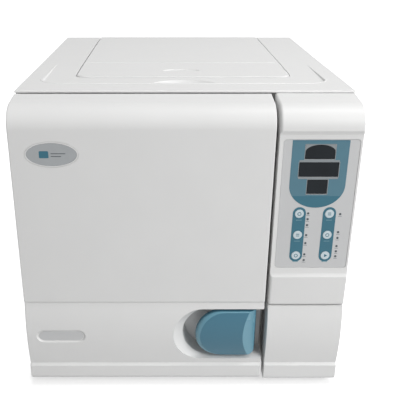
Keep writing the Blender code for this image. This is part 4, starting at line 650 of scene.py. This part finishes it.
# %% Make the control column
COLUMN_LEFT = 126.5
COLUMN_RIGHT = 240
COLUMN_BACK = 65.7
GRAPHIC_X = 183.4
PIVOT = (233, 15)
KEY_COLUMNS = {"left": 162.05, "right": 204.75}
KEY_ROWS = {"upper": 297.1, "middle": 263.9, "lower": 230.7}
key_places = [(f"{side}_{level}", across, up)
              for side, across in KEY_COLUMNS.items() for level, up in KEY_ROWS.items()]


def key_holes(far, side=""):
    """Cutters for the holes of all the keys, or of those on one side."""
    return [peg(across, up, 0, far, 6.65) for key, across, up in key_places if key.startswith(side)]


column_side = [(COLUMN_BACK, 456), (33.5, 452.5), (0, 452.5), (0, 147.5), (COLUMN_BACK, 147.5)]
column = bar(column_side, COLUMN_LEFT, COLUMN_RIGHT)
round_along(column, (0, 452.5, ROLL, 14), (0, 147.5, 5, 4))
soften(column, end_edges(column, COLUMN_BACK, COLUMN_LEFT), 4, 4)
soften(column, end_edges(column, COLUMN_BACK, COLUMN_RIGHT), 2)
panel_side = [(-1, 421.4), (0.8, 417.6), (2.6, 414.4), (3, 412.5), (3, 202), (-1, 194)]
column = combine(column, bar(panel_side, COLUMN_LEFT - 5, COLUMN_RIGHT + 5), mark=2)
soften(column, rim(column, 0, 2), 1.3)
hollow_side = [(67, 449.5), (6, 449.5), (6, 150.5), (67, 150.5)]
hollow = bar(hollow_side, COLUMN_LEFT + 3, COLUMN_RIGHT - 3)
round_along(hollow, (6, 449.5, 26, 8))
column = combine(column, hollow)
column = combine(column, block((132.45, 0, 210.15), (236.95, 4.6, 406.85), 4.3), mark=3)
soften(column, rim(column, 2, 3), 0.4, 2)
display_hole = block((GRAPHIC_X - 31.8, 0, 323), (GRAPHIC_X + 31.8, 60, 403.8))
bolt_hole = rod((125, *BOLT), (131, *BOLT), 4.3, 20)
pivot_hole = rod((*PIVOT, 146), (*PIVOT, 150.3), 2.8, 16)
column = combine(column, display_hole, *key_holes(8), bolt_hole, pivot_hole)
piece("column_fascia", column, white_plastic, "control_column")

# %% [markdown]
# ## The key panel
#
# A printed film covers the recess. Its windows are real openings with smoked glass behind them, and
# its printed fields are thin plates on top, so that they survive an export as geometry.

# %% Make the film and the glass
WINDOWS = ((41, 378.5, 399.5), (55, 352.75, 374.25), (28.5, 327.25, 348.75))
FILM = 3.6
PANE = FILM + 0.05


def window(index, grow, near, far):
    """One display window as a block, a little larger or smaller than its printed size."""
    width, low, high = WINDOWS[index]
    half = width / 2 + grow
    return block((GRAPHIC_X - half, near, low - grow), (GRAPHIC_X + half, far, high + grow), 0.8)


def windows(grow, near, far):
    """All three display windows."""
    return [window(index, grow, near, far) for index in range(len(WINDOWS))]


def add(shape, other):
    """Put a second shape into the first; the second is used up."""
    mesh = bpy.data.meshes.new("moved")
    other.to_mesh(mesh)
    other.free()
    shape.from_mesh(mesh)
    bpy.data.meshes.remove(mesh)


def front_rim(shape, back):
    """The edges round the front of a plate whose face lies at one depth."""
    return bent(edges_at(shape, back=back))


film = block((132.8, FILM, 210.5), (236.6, FILM + 1, 406.5), 4)
film = combine(film, *windows(0, 0, 6), *key_holes(6))
soften(film, front_rim(film, FILM), 0.25, 2)
piece("key_film_sheet", film, film_grey, "membrane_panel")
glass = block((GRAPHIC_X - 31.5, 5, 323.3), (GRAPHIC_X + 31.5, 7.6, 403.5))
glass = combine(glass, *windows(-0.2, PANE, 5.5), operation="UNION")
soften(glass, front_rim(glass, PANE), 0.2, 2)
piece("display_glass", glass, smoked_glass, "display_lens")

# %% [markdown]
# The shield behind the windows has straight sides and a half-round foot. It starts as a narrower
# plate with full rounds at its foot, and a sideways scale stretches the half circle to a half oval. A
# `bisect_plane` splits off its darker lower field. Grey lines frame the windows, and the top window
# shows its glass through an arch, so its two upper corners are grey too.

# %% Print the shield and the key fields
PRINT = (FILM - 0.2, FILM)
OVERPRINT = (FILM - 0.3, FILM - 0.2)


def shield(low, high):
    """The shield print between two heights."""
    half = 33.5
    shape = block((-half, PRINT[0], 306.5), (half, PRINT[1], 405.8))
    for up, radius, steps in ((306.5, 33.4, 14), (405.8, 0.5, 2)):
        corners = edges_at(shape, across=-half, up=up) + edges_at(shape, across=half, up=up)
        soften(shape, corners, radius, steps)
    bmesh.ops.scale(shape, vec=(39 / half, 1, 1), verts=shape.verts)
    bmesh.ops.translate(shape, vec=(183.5 * MM, 0, 0), verts=shape.verts)
    slice_at(shape, spot(0, 0, low), (0, 0, -1), clear_outer=True)
    slice_at(shape, spot(0, 0, high), (0, 0, 1), clear_outer=True)
    return shape


frame_lines = bmesh.new()
for index in range(len(WINDOWS)):
    add(frame_lines, combine(window(index, 0.9, *OVERPRINT), window(index, 0.1, 0, 6)))
for low in (375.3, 349.8):
    start = (GRAPHIC_X - 27.5, OVERPRINT[0], low)
    add(frame_lines, block(start, (GRAPHIC_X + 27.5, OVERPRINT[1], low + 2.1)))
arch = oval(GRAPHIC_X, 389.5, 20.4, 9.9, 0, 6)
below_arch = block((GRAPHIC_X - 30, 0, 370), (GRAPHIC_X + 30, 6, 389.5))
add(frame_lines, combine(window(0, -0.1, *PRINT), arch, below_arch))
piece("window_frame_lines", frame_lines, film_line)
upper_field = combine(shield(324.2, 404.5), *windows(0.3, 0, 6))
piece("shield_print", upper_field, film_shield)
piece("shield_top_print", shield(404.55, 420), film_teal)
piece("shield_foot_print", shield(290, 324.15), film_teal)
for side, across in KEY_COLUMNS.items():
    field = block((across - 9.25, PRINT[0], 220.8), (across + 9.25, PRINT[1], 307.2), 9.2, steps=10)
    piece(f"{side}_key_field", combine(field, *key_holes(6, side)), film_teal)

# %% [markdown]
# Small indicator lamps stand beside the keys, each over a tiny plain line. All the lamps are one
# mesh, and all the lines another, because they share a finish and never move apart.

# %% Add the indicator lamps and their lines
INDICATORS = {174.5: (297.6, 288.6, 279.3, 263.4, 250.6, 232.3, 222.9),
              220: (296.4, 268.1, 258.9, 245.7, 237.3, 229.1)}
BULB = FILM - 0.4
lamps = bmesh.new()
lines = bmesh.new()
for across, heights in INDICATORS.items():
    for up in heights:
        bulb = peg(across, up, BULB, FILM, 1.7, 20)
        soften(bulb, front_rim(bulb, BULB), 0.25, 2)
        add(lamps, bulb)
        low = (across - 2.6, FILM - 0.1, up - 3.8)
        add(lines, block(low, (across + 2.6, FILM, up - 3), 0.3, steps=2))
piece("indicator_lamps", lamps, film_dark)
piece("indicator_lines", lines, film_line)
key_lines = bmesh.new()
for key, across, up in key_places:
    low = (across - 4.2, OVERPRINT[0], up - 10.4)
    add(key_lines, block(low, (across + 4.2, OVERPRINT[1], up - 9.5), 0.3, steps=2))
piece("key_lines", key_lines, film_faint)

# %% [markdown]
# ## The keys
#
# Each key is a short pin through the film with a softly rounded face, and it rides on its own body,
# so it can be pressed. The mark on it is generic: a triangle for start, and rings and bars elsewhere.

# %% Make the six keys
KEY_FACE = FILM - 0.9
KEY_MARKS = {"left_upper": "ring", "left_middle": "bars", "left_lower": "ring", "right_upper": "bars",
             "right_middle": "ring", "right_lower": "triangle"}


def key_mark(kind, across, up):
    """A small raised mark for a key."""
    near = FILM - 0.98
    far = FILM - 0.85
    if kind == "ring":
        hole = peg(across, up, near - 1, far + 1, 1.9, 24)
        return combine(peg(across, up, near, far, 2.8, 24), hole)
    if kind == "triangle":
        shape = peg(across, up, near, far, 3, 3)
        turn = Matrix.Rotation(math.radians(90), 4, "Y")
        bmesh.ops.rotate(shape, cent=spot(across, 0, up), matrix=turn, verts=shape.verts)
        return shape
    shape = bmesh.new()
    for middle in (up - 1.4, up + 1.4):
        low = (across - 2.4, near, middle - 0.55)
        add(shape, block(low, (across + 2.4, far, middle + 0.55), 0.4, steps=3))
    return shape


for key, across, up in key_places:
    button = peg(across, up, KEY_FACE, FILM + 5.6, 6.35, 40)
    soften(button, front_rim(button, KEY_FACE), 0.5)
    piece(f"{key}_button", button, film_pale, f"{key}_key", f"key_{key}")
    piece(f"{key}_mark", key_mark(KEY_MARKS[key], across, up), film_teal, body=f"key_{key}")

# %% [markdown]
# ## The service flap
#
# The flap carries the door's bowed band and strip on to the right-hand corner, on a shallow hollow
# box with two pivots.

# %% Make the service flap
FLAP_BACK = 22
flap_side = [(FLAP_BACK, 146), (2, 146), (2, 42), (-1.5, 38.5), (-1.5, 11.5), (FLAP_BACK, 11.5)]
flap = bar(flap_side, COLUMN_LEFT, COLUMN_RIGHT)
bow(flap, 2, 42, 146, 6)
round_along(flap, (-1.5, 11.5, 6.5, 6), (2, 146, 0.8, 3))
soften(flap, end_edges(flap, FLAP_BACK, COLUMN_LEFT, COLUMN_RIGHT), 1.8)
flap = combine(flap, block((COLUMN_LEFT + 3, 5, 14.5), (COLUMN_RIGHT - 3, 24, 143)))
pivots = [rod((*PIVOT, low), (*PIVOT, high), 2.5, 20) for low, high in ((144.5, 149.7), (8.7, 13))]
flap = combine(flap, *pivots, operation="UNION")
piece("flap_shell", flap, white_plastic, "service_door", "flap")

# %% [markdown]
# ## The top cover
#
# The top is a skirted roof that falls a little towards the back. Its front edge is a lip over a dark
# joint. A shallow tray is sunk into its front half with a low bead round it, and both run out into the
# roof towards the back. The lid has its opening, and an arched dish lies in front of the lid.

# %% Make the top cover
LID_AXIS = (568, 446)


def dish(across, back, half_width, length, low, high, taper=0.8):
    """The back half of an oval bowl with slanted walls, between two heights."""
    shape = bmesh.new()
    bmesh.ops.create_cone(shape, cap_ends=True, segments=96, radius1=taper, radius2=1,
                          depth=(high - low) * MM)
    slice_at(shape, (0, 0, 0), (0, 1, 0), clear_inner=True)
    bmesh.ops.scale(shape, vec=(half_width * MM, length * MM, 1), verts=shape.verts)
    bmesh.ops.translate(shape, vec=spot(across, back, (low + high) / 2), verts=shape.verts)
    return shape


def slant(shape, up, inward, climb):
    """Draw one level of a block in, so that its walls slant, and let it climb towards the back."""
    floor = [vert for vert in shape.verts if abs(vert.co.z - up * MM) < CLOSE]
    middle = sum((vert.co for vert in floor), Vector()) / len(floor)
    for vert in floor:
        for axis in (0, 1):
            away = vert.co[axis] - middle[axis]
            vert.co[axis] -= math.copysign(min(inward * MM, abs(away)), away)
    front = min(vert.co.y for vert in floor)
    for vert in floor:
        vert.co.z += climb * (vert.co.y - front)
    return shape


cover_side = [(578, 418), (578, 457.5), (300, 458), (113, 459.4), (64, 459.4), (64, 456.6), (70, 456.2),
              (72, 454), (72, 418)]
cover = bar(cover_side, -240, 240)
round_along(cover, (64, 459.4, 2.2, 4))
cover_ends = end_edges(cover, 578, -240, 240)
soften(cover, [edge for edge in cover_ends if max(vert.co.z for vert in edge.verts) > 420 * MM], 1.6)
lugs = [block((left, 562.5, 440.5), (left + 12, 573.5, 457)) for left in (-182, 170)]
under = combine(block((-237, 75, 400), (237, 575, 452)), dish(0, 112, 56, 38.5, 448, 460), *lugs)
cover = combine(cover, under, block((-250, 60, 400), (250, 77, 441)))
bead = block((-222, 104.5, 455), (222, 412.5, 460), 33, 2, 14)
cover = combine(cover, slant(bead, 460, 5.5, -0.0115), mark=0, operation="UNION")
tray = block((-214, 112.5, 457), (214, 400, 460.4), 25, 2, 14)
cover = combine(cover, slant(tray, 457, 2.2, 0.008), mark=2)
soften(cover, rim(cover, 0, 2), 0.6, 2)
cover = combine(cover, block((-168.6, 162.8, 430), (168.6, 700, 470), 15.6, 2, 8), mark=3)
cover = combine(cover, dish(0, 114.5, 53, 33, 451, 460.4), mark=4)
cover = combine(cover, rod((-176.3, *LID_AXIS), (176.3, *LID_AXIS), 2.8, 16), mark=5)
soften(cover, rim(cover, 2, 3), 0.5, 2)
soften(cover, rim(cover, 2, 4), 1.2)
piece("roof_cover", cover, white_plastic, "top_cover", sharp=10)

# %% [markdown]
# ## The tank lid
#
# The lid lies in the tray of the cover and stands a little proud of it, so that its rounded edge
# catches the light. A fine groove runs across it where the tray ends, and a shallow bare dish is sunk
# near its front edge.

# %% Make the tank lid
lid_side = [(576.5, 452), (576.5, 458.6), (274, 459.7), (164.3, 459), (164.3, 452)]
lid = bar(lid_side, -167.2, 167.2)
lid_corners = [edge for edge in lid.edges
               if abs(edge.verts[0].co.z - edge.verts[1].co.z) > 4 * MM and edge.verts[0].co.y < 0]
soften(lid, lid_corners, 14, 8)
lid_rim = [edge for edge in bent(lid.edges) if all(vert.co.z > 457 * MM for vert in edge.verts)]
soften(lid, lid_rim, 2.4, 4)
groove = bar([(276, 461), (273, 458.2), (270, 461)], -180, 180)
lid = combine(lid, groove, dish(-2, 204, 32, 16, 458, 461, 0.9), mark=2)
lugs = [block((middle - 6, 562.5, 440.5), (middle + 6, 573.7, 455)) for middle in (-120, 120)]
for lug in lugs:
    soften(lug, edges_at(lug, up=440.5), 2)
hanger = block((-165.5, 573.5, 431.5), (165.5, 576.2, 456))
lid = combine(lid, hanger, *lugs, mark=3, operation="UNION")
lid = combine(lid, rod((-130, *LID_AXIS), (130, *LID_AXIS), 2.8, 16), mark=4)
piece("lid_plate", lid, white_plastic, "tank_lid", "lid", 15)

# %% [markdown]
# ## Side panels, screws and feet
#
# The sides are folded sheet with a row of vent slots. All nine slots are one cutter. The screws are
# copies of one small turned head with a cross cut into it, each turned to face out of its panel.

# %% Make the side panels
REAR = 574.7


def spun(shape, centre, axis, steps):
    """Spin an outline right round an axis and join where it meets itself."""
    bmesh.ops.spin(shape, geom=shape.verts[:] + shape.edges[:], cent=centre, axis=axis,
                   angle=2 * math.pi, steps=steps, use_merge=True)
    bmesh.ops.remove_doubles(shape, verts=shape.verts, dist=1e-6)
    bmesh.ops.recalc_face_normals(shape, faces=shape.faces)
    return shape


def turned(profile, centre, steps=48, axis=(0, 1, 0), closed=False):
    """Spin (radius, along) corners, in millimetres, round an axis through a centre."""
    axis = Vector(axis)
    side = axis.orthogonal().normalized()
    shape = bmesh.new()
    verts = [shape.verts.new(centre + side * radius * MM + axis * along * MM) for radius, along in profile]
    for pair in zip(verts, verts[1:]):
        shape.edges.new(pair)
    if closed:
        shape.edges.new((verts[-1], verts[0]))
    return spun(shape, centre, axis, steps)


def screws(name, places, direction, body="cabinet"):
    """A piece of screw heads, each stood on a place in millimetres and turned to face a direction."""
    turn = Vector(direction).to_track_quat("Z", "Y").to_matrix().to_4x4()
    shape = bmesh.new()
    for place in places:
        known = len(shape.verts)
        shape.from_mesh(screw_head)
        fresh = shape.verts[:][known:]
        bmesh.ops.transform(shape, matrix=Matrix.Translation(spot(*place)) @ turn, verts=fresh)
    piece(name, shape, zinc_steel, body=body)


head_profile = [(0, 1.5), (1.6, 1.4), (2.8, 0.9), (3.3, 0.2), (3.3, 0), (0, 0)]
head = turned(head_profile, Vector(), 20, (0, 0, 1))
for wide, deep in ((1.9, 0.4), (0.4, 1.9)):
    low = Vector((-wide, -deep, 0.7)) * MM
    head = combine(head, box_between(low, Vector((wide, deep, 3)) * MM))
screw_head = bpy.data.meshes.new("screw_head")
head.to_mesh(screw_head)
head.free()

side_sheet = [(66, 10), (REAR, 10), (REAR, 451.7), (70.8, 451.7), (70.8, 440.7), (66, 440.7)]
for side, inner, outer, outward in (("left", -235.4, -236.7, -1), ("right", 235.4, 236.7, 1)):
    panel = bar(side_sheet, inner, outer)
    slots = bmesh.new()
    for index in range(9):
        back = 320.35 + 12 * (index - 4)
        low = (min(inner, outer) - 3, back - 2.5, 197)
        add(slots, block(low, (max(inner, outer) + 3, back + 2.5, 267), 2.45, 0, 5))
    panel = combine(panel, slots)
    soften(panel, rim(panel, 0, 1), 0.4, 2)
    piece(f"{side}_side_sheet", panel, painted_steel, f"{side}_side_panel")
    places = [(outer, back, up) for back in (90, 320, 555) for up in (28, 400)]
    screws(f"{side}_side_screws", places, (outward, 0, 0))

# %% [markdown]
# The feet are turned rubber pads.

# %% Make the feet
FOOT_PROFILE = [(0, 0), (14.5, 0), (16.6, 0.8), (17.8, 2.6), (18, 4.2), (17.2, 5), (17.2, 6), (17.8, 6.8),
                (17.8, 9.7), (0, 9.7)]
for end in ("front", "rear"):
    for side in ("left", "right"):
        low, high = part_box(f"foot_{end}_{side}")
        base = Vector(((low.x + high.x) / 2, (low.y + high.y) / 2, low.z))
        foot = turned(FOOT_PROFILE, base, 40, (0, 0, 1))
        piece(f"{end}_{side}_pad", foot, black_rubber, f"foot_{end}_{side}")

# %% [markdown]
# ## Sheet pieces and fittings that are copies of the CAD
#
# Many pieces are right in the CAD apart from their edges. Each is a merged copy: its flat triangles
# are joined to faces again, and every edge gets a small break.

# %% Break the edges of the sheets, leaves and fittings
COPIES = (
    ("rear_sheet", "rear_panel", 0.3, painted_steel, "painted_steel", "cabinet"),
    ("inlet_body", "mains_inlet", 0.4, dark_plastic, "dark_plastic", "cabinet"),
    ("rocker_cap", "mains_rocker", 0.4, dark_plastic, "dark_plastic", "rocker"),
    ("front_wall", "front_bulkhead", 0.35, steel_sheet, "stainless_steel", "cabinet"),
    ("door_back_sheet", "door_back_panel", 0.35, steel_sheet, "stainless_steel", "door"),
    ("rack_frame", "tray_rack", 0.25, steel_tray, "stainless_steel", "cabinet"),
    ("tank_tub", "water_tank", 0.8, tank_plastic, "tank_plastic", "cabinet"),
    ("bay_tub", "service_bay", 0.5, white_plastic, "white_plastic", "cabinet"),
    ("frame_leaf", "hinge_frame_leaf", 0.25, steel_sheet, "stainless_steel", "cabinet"),
    ("door_leaf", "hinge_door_leaf", 0.25, steel_sheet, "stainless_steel", "door"),
    ("latch_claw", "latch_hook", 0.5, zinc_steel, "zinc_steel", "door_handle"),
    ("bolt_pin", "lock_bolt", 0.6, steel_sheet, "stainless_steel", "bolt"),
    ("fan_wheel", "fan_rotor", 0.3, dark_plastic, "dark_plastic", "fan"),
    ("fan_housing", "fan_frame", 0.4, dark_plastic, "dark_plastic", "cabinet"),
)
for name, node, radius, finish, slot, body in COPIES:
    shape = bmesh.new()
    shape.from_mesh(nodes[node].data)
    bmesh.ops.remove_doubles(shape, verts=shape.verts, dist=1e-6)
    bmesh.ops.dissolve_limit(shape, angle_limit=math.radians(1), verts=shape.verts, edges=shape.edges)
    soften(shape, bent(shape.edges, 40), radius, 2)
    piece(name, shape, finish, node, body)

# %% [markdown]
# ## The back of the machine
#
# The rear sheet holds the fan behind a wire guard, the mains inlet with its switch, and the relief
# valve.

# %% Wire the fan guard and screw the sheets on
FAN_X = 161.45
FAN_UP = 262
GUARD = 576


def hoop(centre, radius, wire, steps=64):
    """A wire ring that faces forward."""
    axis = Vector((0, 1, 0))
    side = axis.orthogonal().normalized()
    stand = axis.cross(side).to_track_quat("Z", "Y").to_matrix().to_4x4()
    shape = bmesh.new()
    bmesh.ops.create_circle(shape, segments=8, radius=wire * MM,
                            matrix=Matrix.Translation(centre + side * radius * MM) @ stand)
    return spun(shape, centre, axis, steps)


guard = bmesh.new()
for radius in (17, 25, 33, 41, 49, 56):
    add(guard, hoop(spot(FAN_X, GUARD, FAN_UP), radius, 0.9))
for degrees in (45, 135, 225, 315):
    angle = math.radians(degrees)
    ends = [(FAN_X + reach * math.cos(angle), GUARD, FAN_UP + reach * math.sin(angle))
            for reach in (17, 56.4)]
    add(guard, rod(*ends, 0.85, 10))
piece("fan_wire_guard", guard, zinc_steel, "fan_guard")
places = [(across, REAR, up) for across in (-222, -60, 90, 222) for up in (24, 415)]
places += [(FAN_X + i * 47, REAR, FAN_UP + j * 47) for i in (-1, 1) for j in (-1, 1)]
screws("rear_screws", places, (0, 1, 0))
places = [(across, 59.7, up) for across in (-222, -60, 70) for up in (32, 436)]
places += [(across, 59.7, up) for across in (-215, 104) for up in (100, 372)]
screws("door_back_screws", places, (0, 1, 0), "door")
places = [(across, 66, up) for across in (-222, 108) for up in (56, 420)]
screws("front_wall_screws", places, (0, -1, 0))

# %% [markdown]
# The inlet is a standard three-pin socket under a rocker switch. The pins are real blades, and the
# switch carries the two usual strokes, a bar and a ring, which tip with it.

# %% Dress the mains inlet and the relief valve
TILT = math.atan2(2.25, 7.8)
VALVE_UP = 302
pins = bmesh.new()
for across, up in ((-6.5, 66.8), (6.5, 66.8), (0, 71.6)):
    pin = block((FAN_X + across - 1, 560, up - 2), (FAN_X + across + 1, 573, up + 2))
    soften(pin, bent(pin.edges), 0.4, 2)
    add(pins, pin)
piece("inlet_pins", pins, brass)
stroke = block((FAN_X - 0.5, 577.1, 101.2), (FAN_X + 0.5, 577.6, 104.8))
ring = combine(peg(FAN_X, 95, 577.1, 577.6, 2, 28), peg(FAN_X, 95, 576, 579, 1.3, 28))
for name, shape, up, tilt in (("rocker_stroke", stroke, 103, -TILT), ("rocker_ring", ring, 95, TILT)):
    turn = Matrix.Rotation(tilt, 3, "X")
    bmesh.ops.rotate(shape, cent=spot(FAN_X, 577.35, up), matrix=turn, verts=shape.verts)
    piece(name, shape, white_plastic, body="rocker")

valve_profile = [(0, 587), (5.6, 587), (7, 585.8), (7, 582.5), (9, 581.5), (9, 578), (13.8, 577), (14, 576.2),
                 (14, 571.9), (7, 571.9), (7, 541.3), (0, 541.3)]
valve = turned(valve_profile, spot(CHAMBER_X, 0, VALVE_UP), 40)
nut = peg(CHAMBER_X, VALVE_UP, 576, 580.5, 13, 6)
soften(nut, bent(nut.edges, 69), 0.5, 2)
add(valve, nut)
add(valve, hoop(spot(CHAMBER_X, 584, VALVE_UP - 5), 9, 0.8, 40))
piece("relief_valve", valve, brass, "safety_valve")

# %% [markdown]
# ## Behind the door
#
# With the door open the polished side of the machine shows: the chamber mouth, the rack with its
# three trays, and on the door the pressure plate in its silicone seal. Round pieces are spun from a
# few corners, with enough steps to look turned.

# %% Turn the chamber, the pressure plate and the seal
MOUTH = spot(CHAMBER_X, 0, CHAMBER_UP)
MOUTH_STEPS = 96
vessel_profile = [(0, 541), (127, 541), (127, 80), (150, 80), (150, 66), (124, 66), (124, 536), (0, 536)]
vessel = turned(vessel_profile, MOUTH, MOUTH_STEPS)
soften(vessel, bent(vessel.edges), 1.2)
piece("chamber_vessel", vessel, steel_turned, "chamber")
plate_profile = [(0, 59.4), (96, 59.4), (98, 58.9), (124, 58.9), (126, 60), (138, 60), (138, 52.5), (120, 50),
                 (30, 50), (30, 44), (0, 44)]
plate = turned(plate_profile, MOUTH, MOUTH_STEPS)
soften(plate, bent(plate.edges), 0.8, 2)
piece("pressure_disc", plate, steel_turned, "pressure_plate", "door")
seal_profile = [(136, 65.7), (136, 60.3), (127, 60.3), (127, 65.7), (130, 65.7), (131.5, 64), (133, 65.7)]
seal = turned(seal_profile, MOUTH, MOUTH_STEPS, closed=True)
soften(seal, bent(seal.edges), 0.7, 2)
piece("mouth_seal", seal, silicone, "door_gasket", "door")

# %% [markdown]
# A sterilising tray is a perforated sheet. A grid with every cell inset and its middle deleted is the
# perforated floor. Its outer edges are extruded up to a low lip all round, the two long sides go on to
# the full height, and `solidify` gives the sheet its thickness.

# %% Press the trays
TRAY_LIP = 3 * MM
TRAY_WEB = 6 * MM
TRAY_SHEET = 1 * MM
for tray in ("lower_tray", "middle_tray", "upper_tray"):
    low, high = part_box(tray)
    sides = ((0, low.x), (0, high.x), (1, low.y), (1, high.y))
    shape = bmesh.new()
    bmesh.ops.create_grid(shape, x_segments=9, y_segments=21, size=0.5)
    bmesh.ops.scale(shape, vec=(high.x - low.x, high.y - low.y, 1), verts=shape.verts)
    bmesh.ops.translate(shape, vec=((low.x + high.x) / 2, (low.y + high.y) / 2, low.z), verts=shape.verts)
    cells = shape.faces[:]
    bmesh.ops.inset_individual(shape, faces=cells, thickness=TRAY_WEB, use_even_offset=True)
    bmesh.ops.delete(shape, geom=cells, context="FACES")
    outer = [edge for edge in shape.edges
             if any(all(abs(vert.co[axis] - level) < CLOSE for vert in edge.verts) for axis, level in sides)]
    grown = bmesh.ops.extrude_edge_only(shape, edges=outer)["geom"]
    bmesh.ops.translate(shape, vec=(0, 0, TRAY_LIP), verts=verts_of(grown))
    lips = [item for item in grown if isinstance(item, bmesh.types.BMEdge) and item.is_boundary
            and abs(item.verts[0].co.x - item.verts[1].co.x) < CLOSE
            and all(vert.co.z > low.z + CLOSE for vert in item.verts)]
    grown = bmesh.ops.extrude_edge_only(shape, edges=lips)["geom"]
    bmesh.ops.translate(shape, vec=(0, 0, high.z - low.z - TRAY_LIP), verts=verts_of(grown))
    bmesh.ops.recalc_face_normals(shape, faces=shape.faces)
    if sum(face.normal.z for face in shape.faces) > 0:
        bmesh.ops.reverse_faces(shape, faces=shape.faces)
    bmesh.ops.solidify(shape, geom=shape.faces[:], thickness=TRAY_SHEET)
    piece(f"{tray}_sheet", shape, steel_tray, tray)

# %% [markdown]
# Behind the flap sit the ribbed air filter and the two drain ports. The ribs are turned grooves, the
# filter has a bar to grip it by, and each port gets a hexagon to hold it with a spanner.

# %% Make the air filter and the drain ports
FILTER_X = 209.7
PORT_UP = 44.5
PORT_PROFILE = [(0, 62.9), (9, 62.9), (9, 60), (6, 59), (6, 47), (4.8, 46), (6, 44.5), (4.8, 43), (6, 41.5),
                (5.2, 38.9), (3.6, 38.9), (3.6, 55), (0, 55)]
rib_profile = [(0, 62.9), (21.5, 62.9)]
for index in range(5):
    back = 61 - 4.4 * index
    rib_profile += [(23, back), (23, back - 2), (21.6, back - 2.6), (21.6, back - 3.8)]
rib_profile += [(21.6, 37.5), (20.5, 36.5), (0, 36.5)]
air_filter = turned(rib_profile, spot(FILTER_X, 0, 120.2))
grip = block((FILTER_X - 15, 34.9, 118), (FILTER_X + 15, 37, 122.4), 2, 1, 4)
air_filter = combine(air_filter, grip, operation="UNION")
piece("filter_cap", air_filter, tank_plastic, "air_filter")
for port, across in (("clean_drain_port", 151), ("used_drain_port", 189)):
    stem = turned(PORT_PROFILE, spot(across, 0, PORT_UP), 32)
    hexagon = peg(across, PORT_UP, 54.9, 60.5, 8.9, 6)
    soften(hexagon, bent(hexagon.edges), 0.4, 2)
    add(stem, hexagon)
    piece(f"{port}_stem", stem, brass, port)

# %% [markdown]
# ## The machinery inside
#
# Little of this shows unless the casing comes off. These CAD nodes keep their shapes and only trade
# their plain colours for the finishes above.

# %% Coat the CAD nodes that stay
STAYING = {
    "heater_band": zinc_steel, "chamber_cradle": zinc_steel, "base_pan": zinc_steel,
    "condenser": zinc_steel, "door_crossbeam": zinc_steel, "insulation_jacket": foil_wrap,
    "steam_generator": steel_sheet, "lid_hinge_rod": steel_sheet, "hinge_pin": steel_sheet,
    "handle_shaft": steel_sheet, "vacuum_pump": motor_grey, "lock_solenoid": motor_grey,
    "valve_block": brass, "main_board": board_green,
}
for node, finish in STAYING.items():
    nodes[node].data.materials.clear()
    nodes[node].data.materials.append(finish)
print("CAD nodes that stay:", len(STAYING))
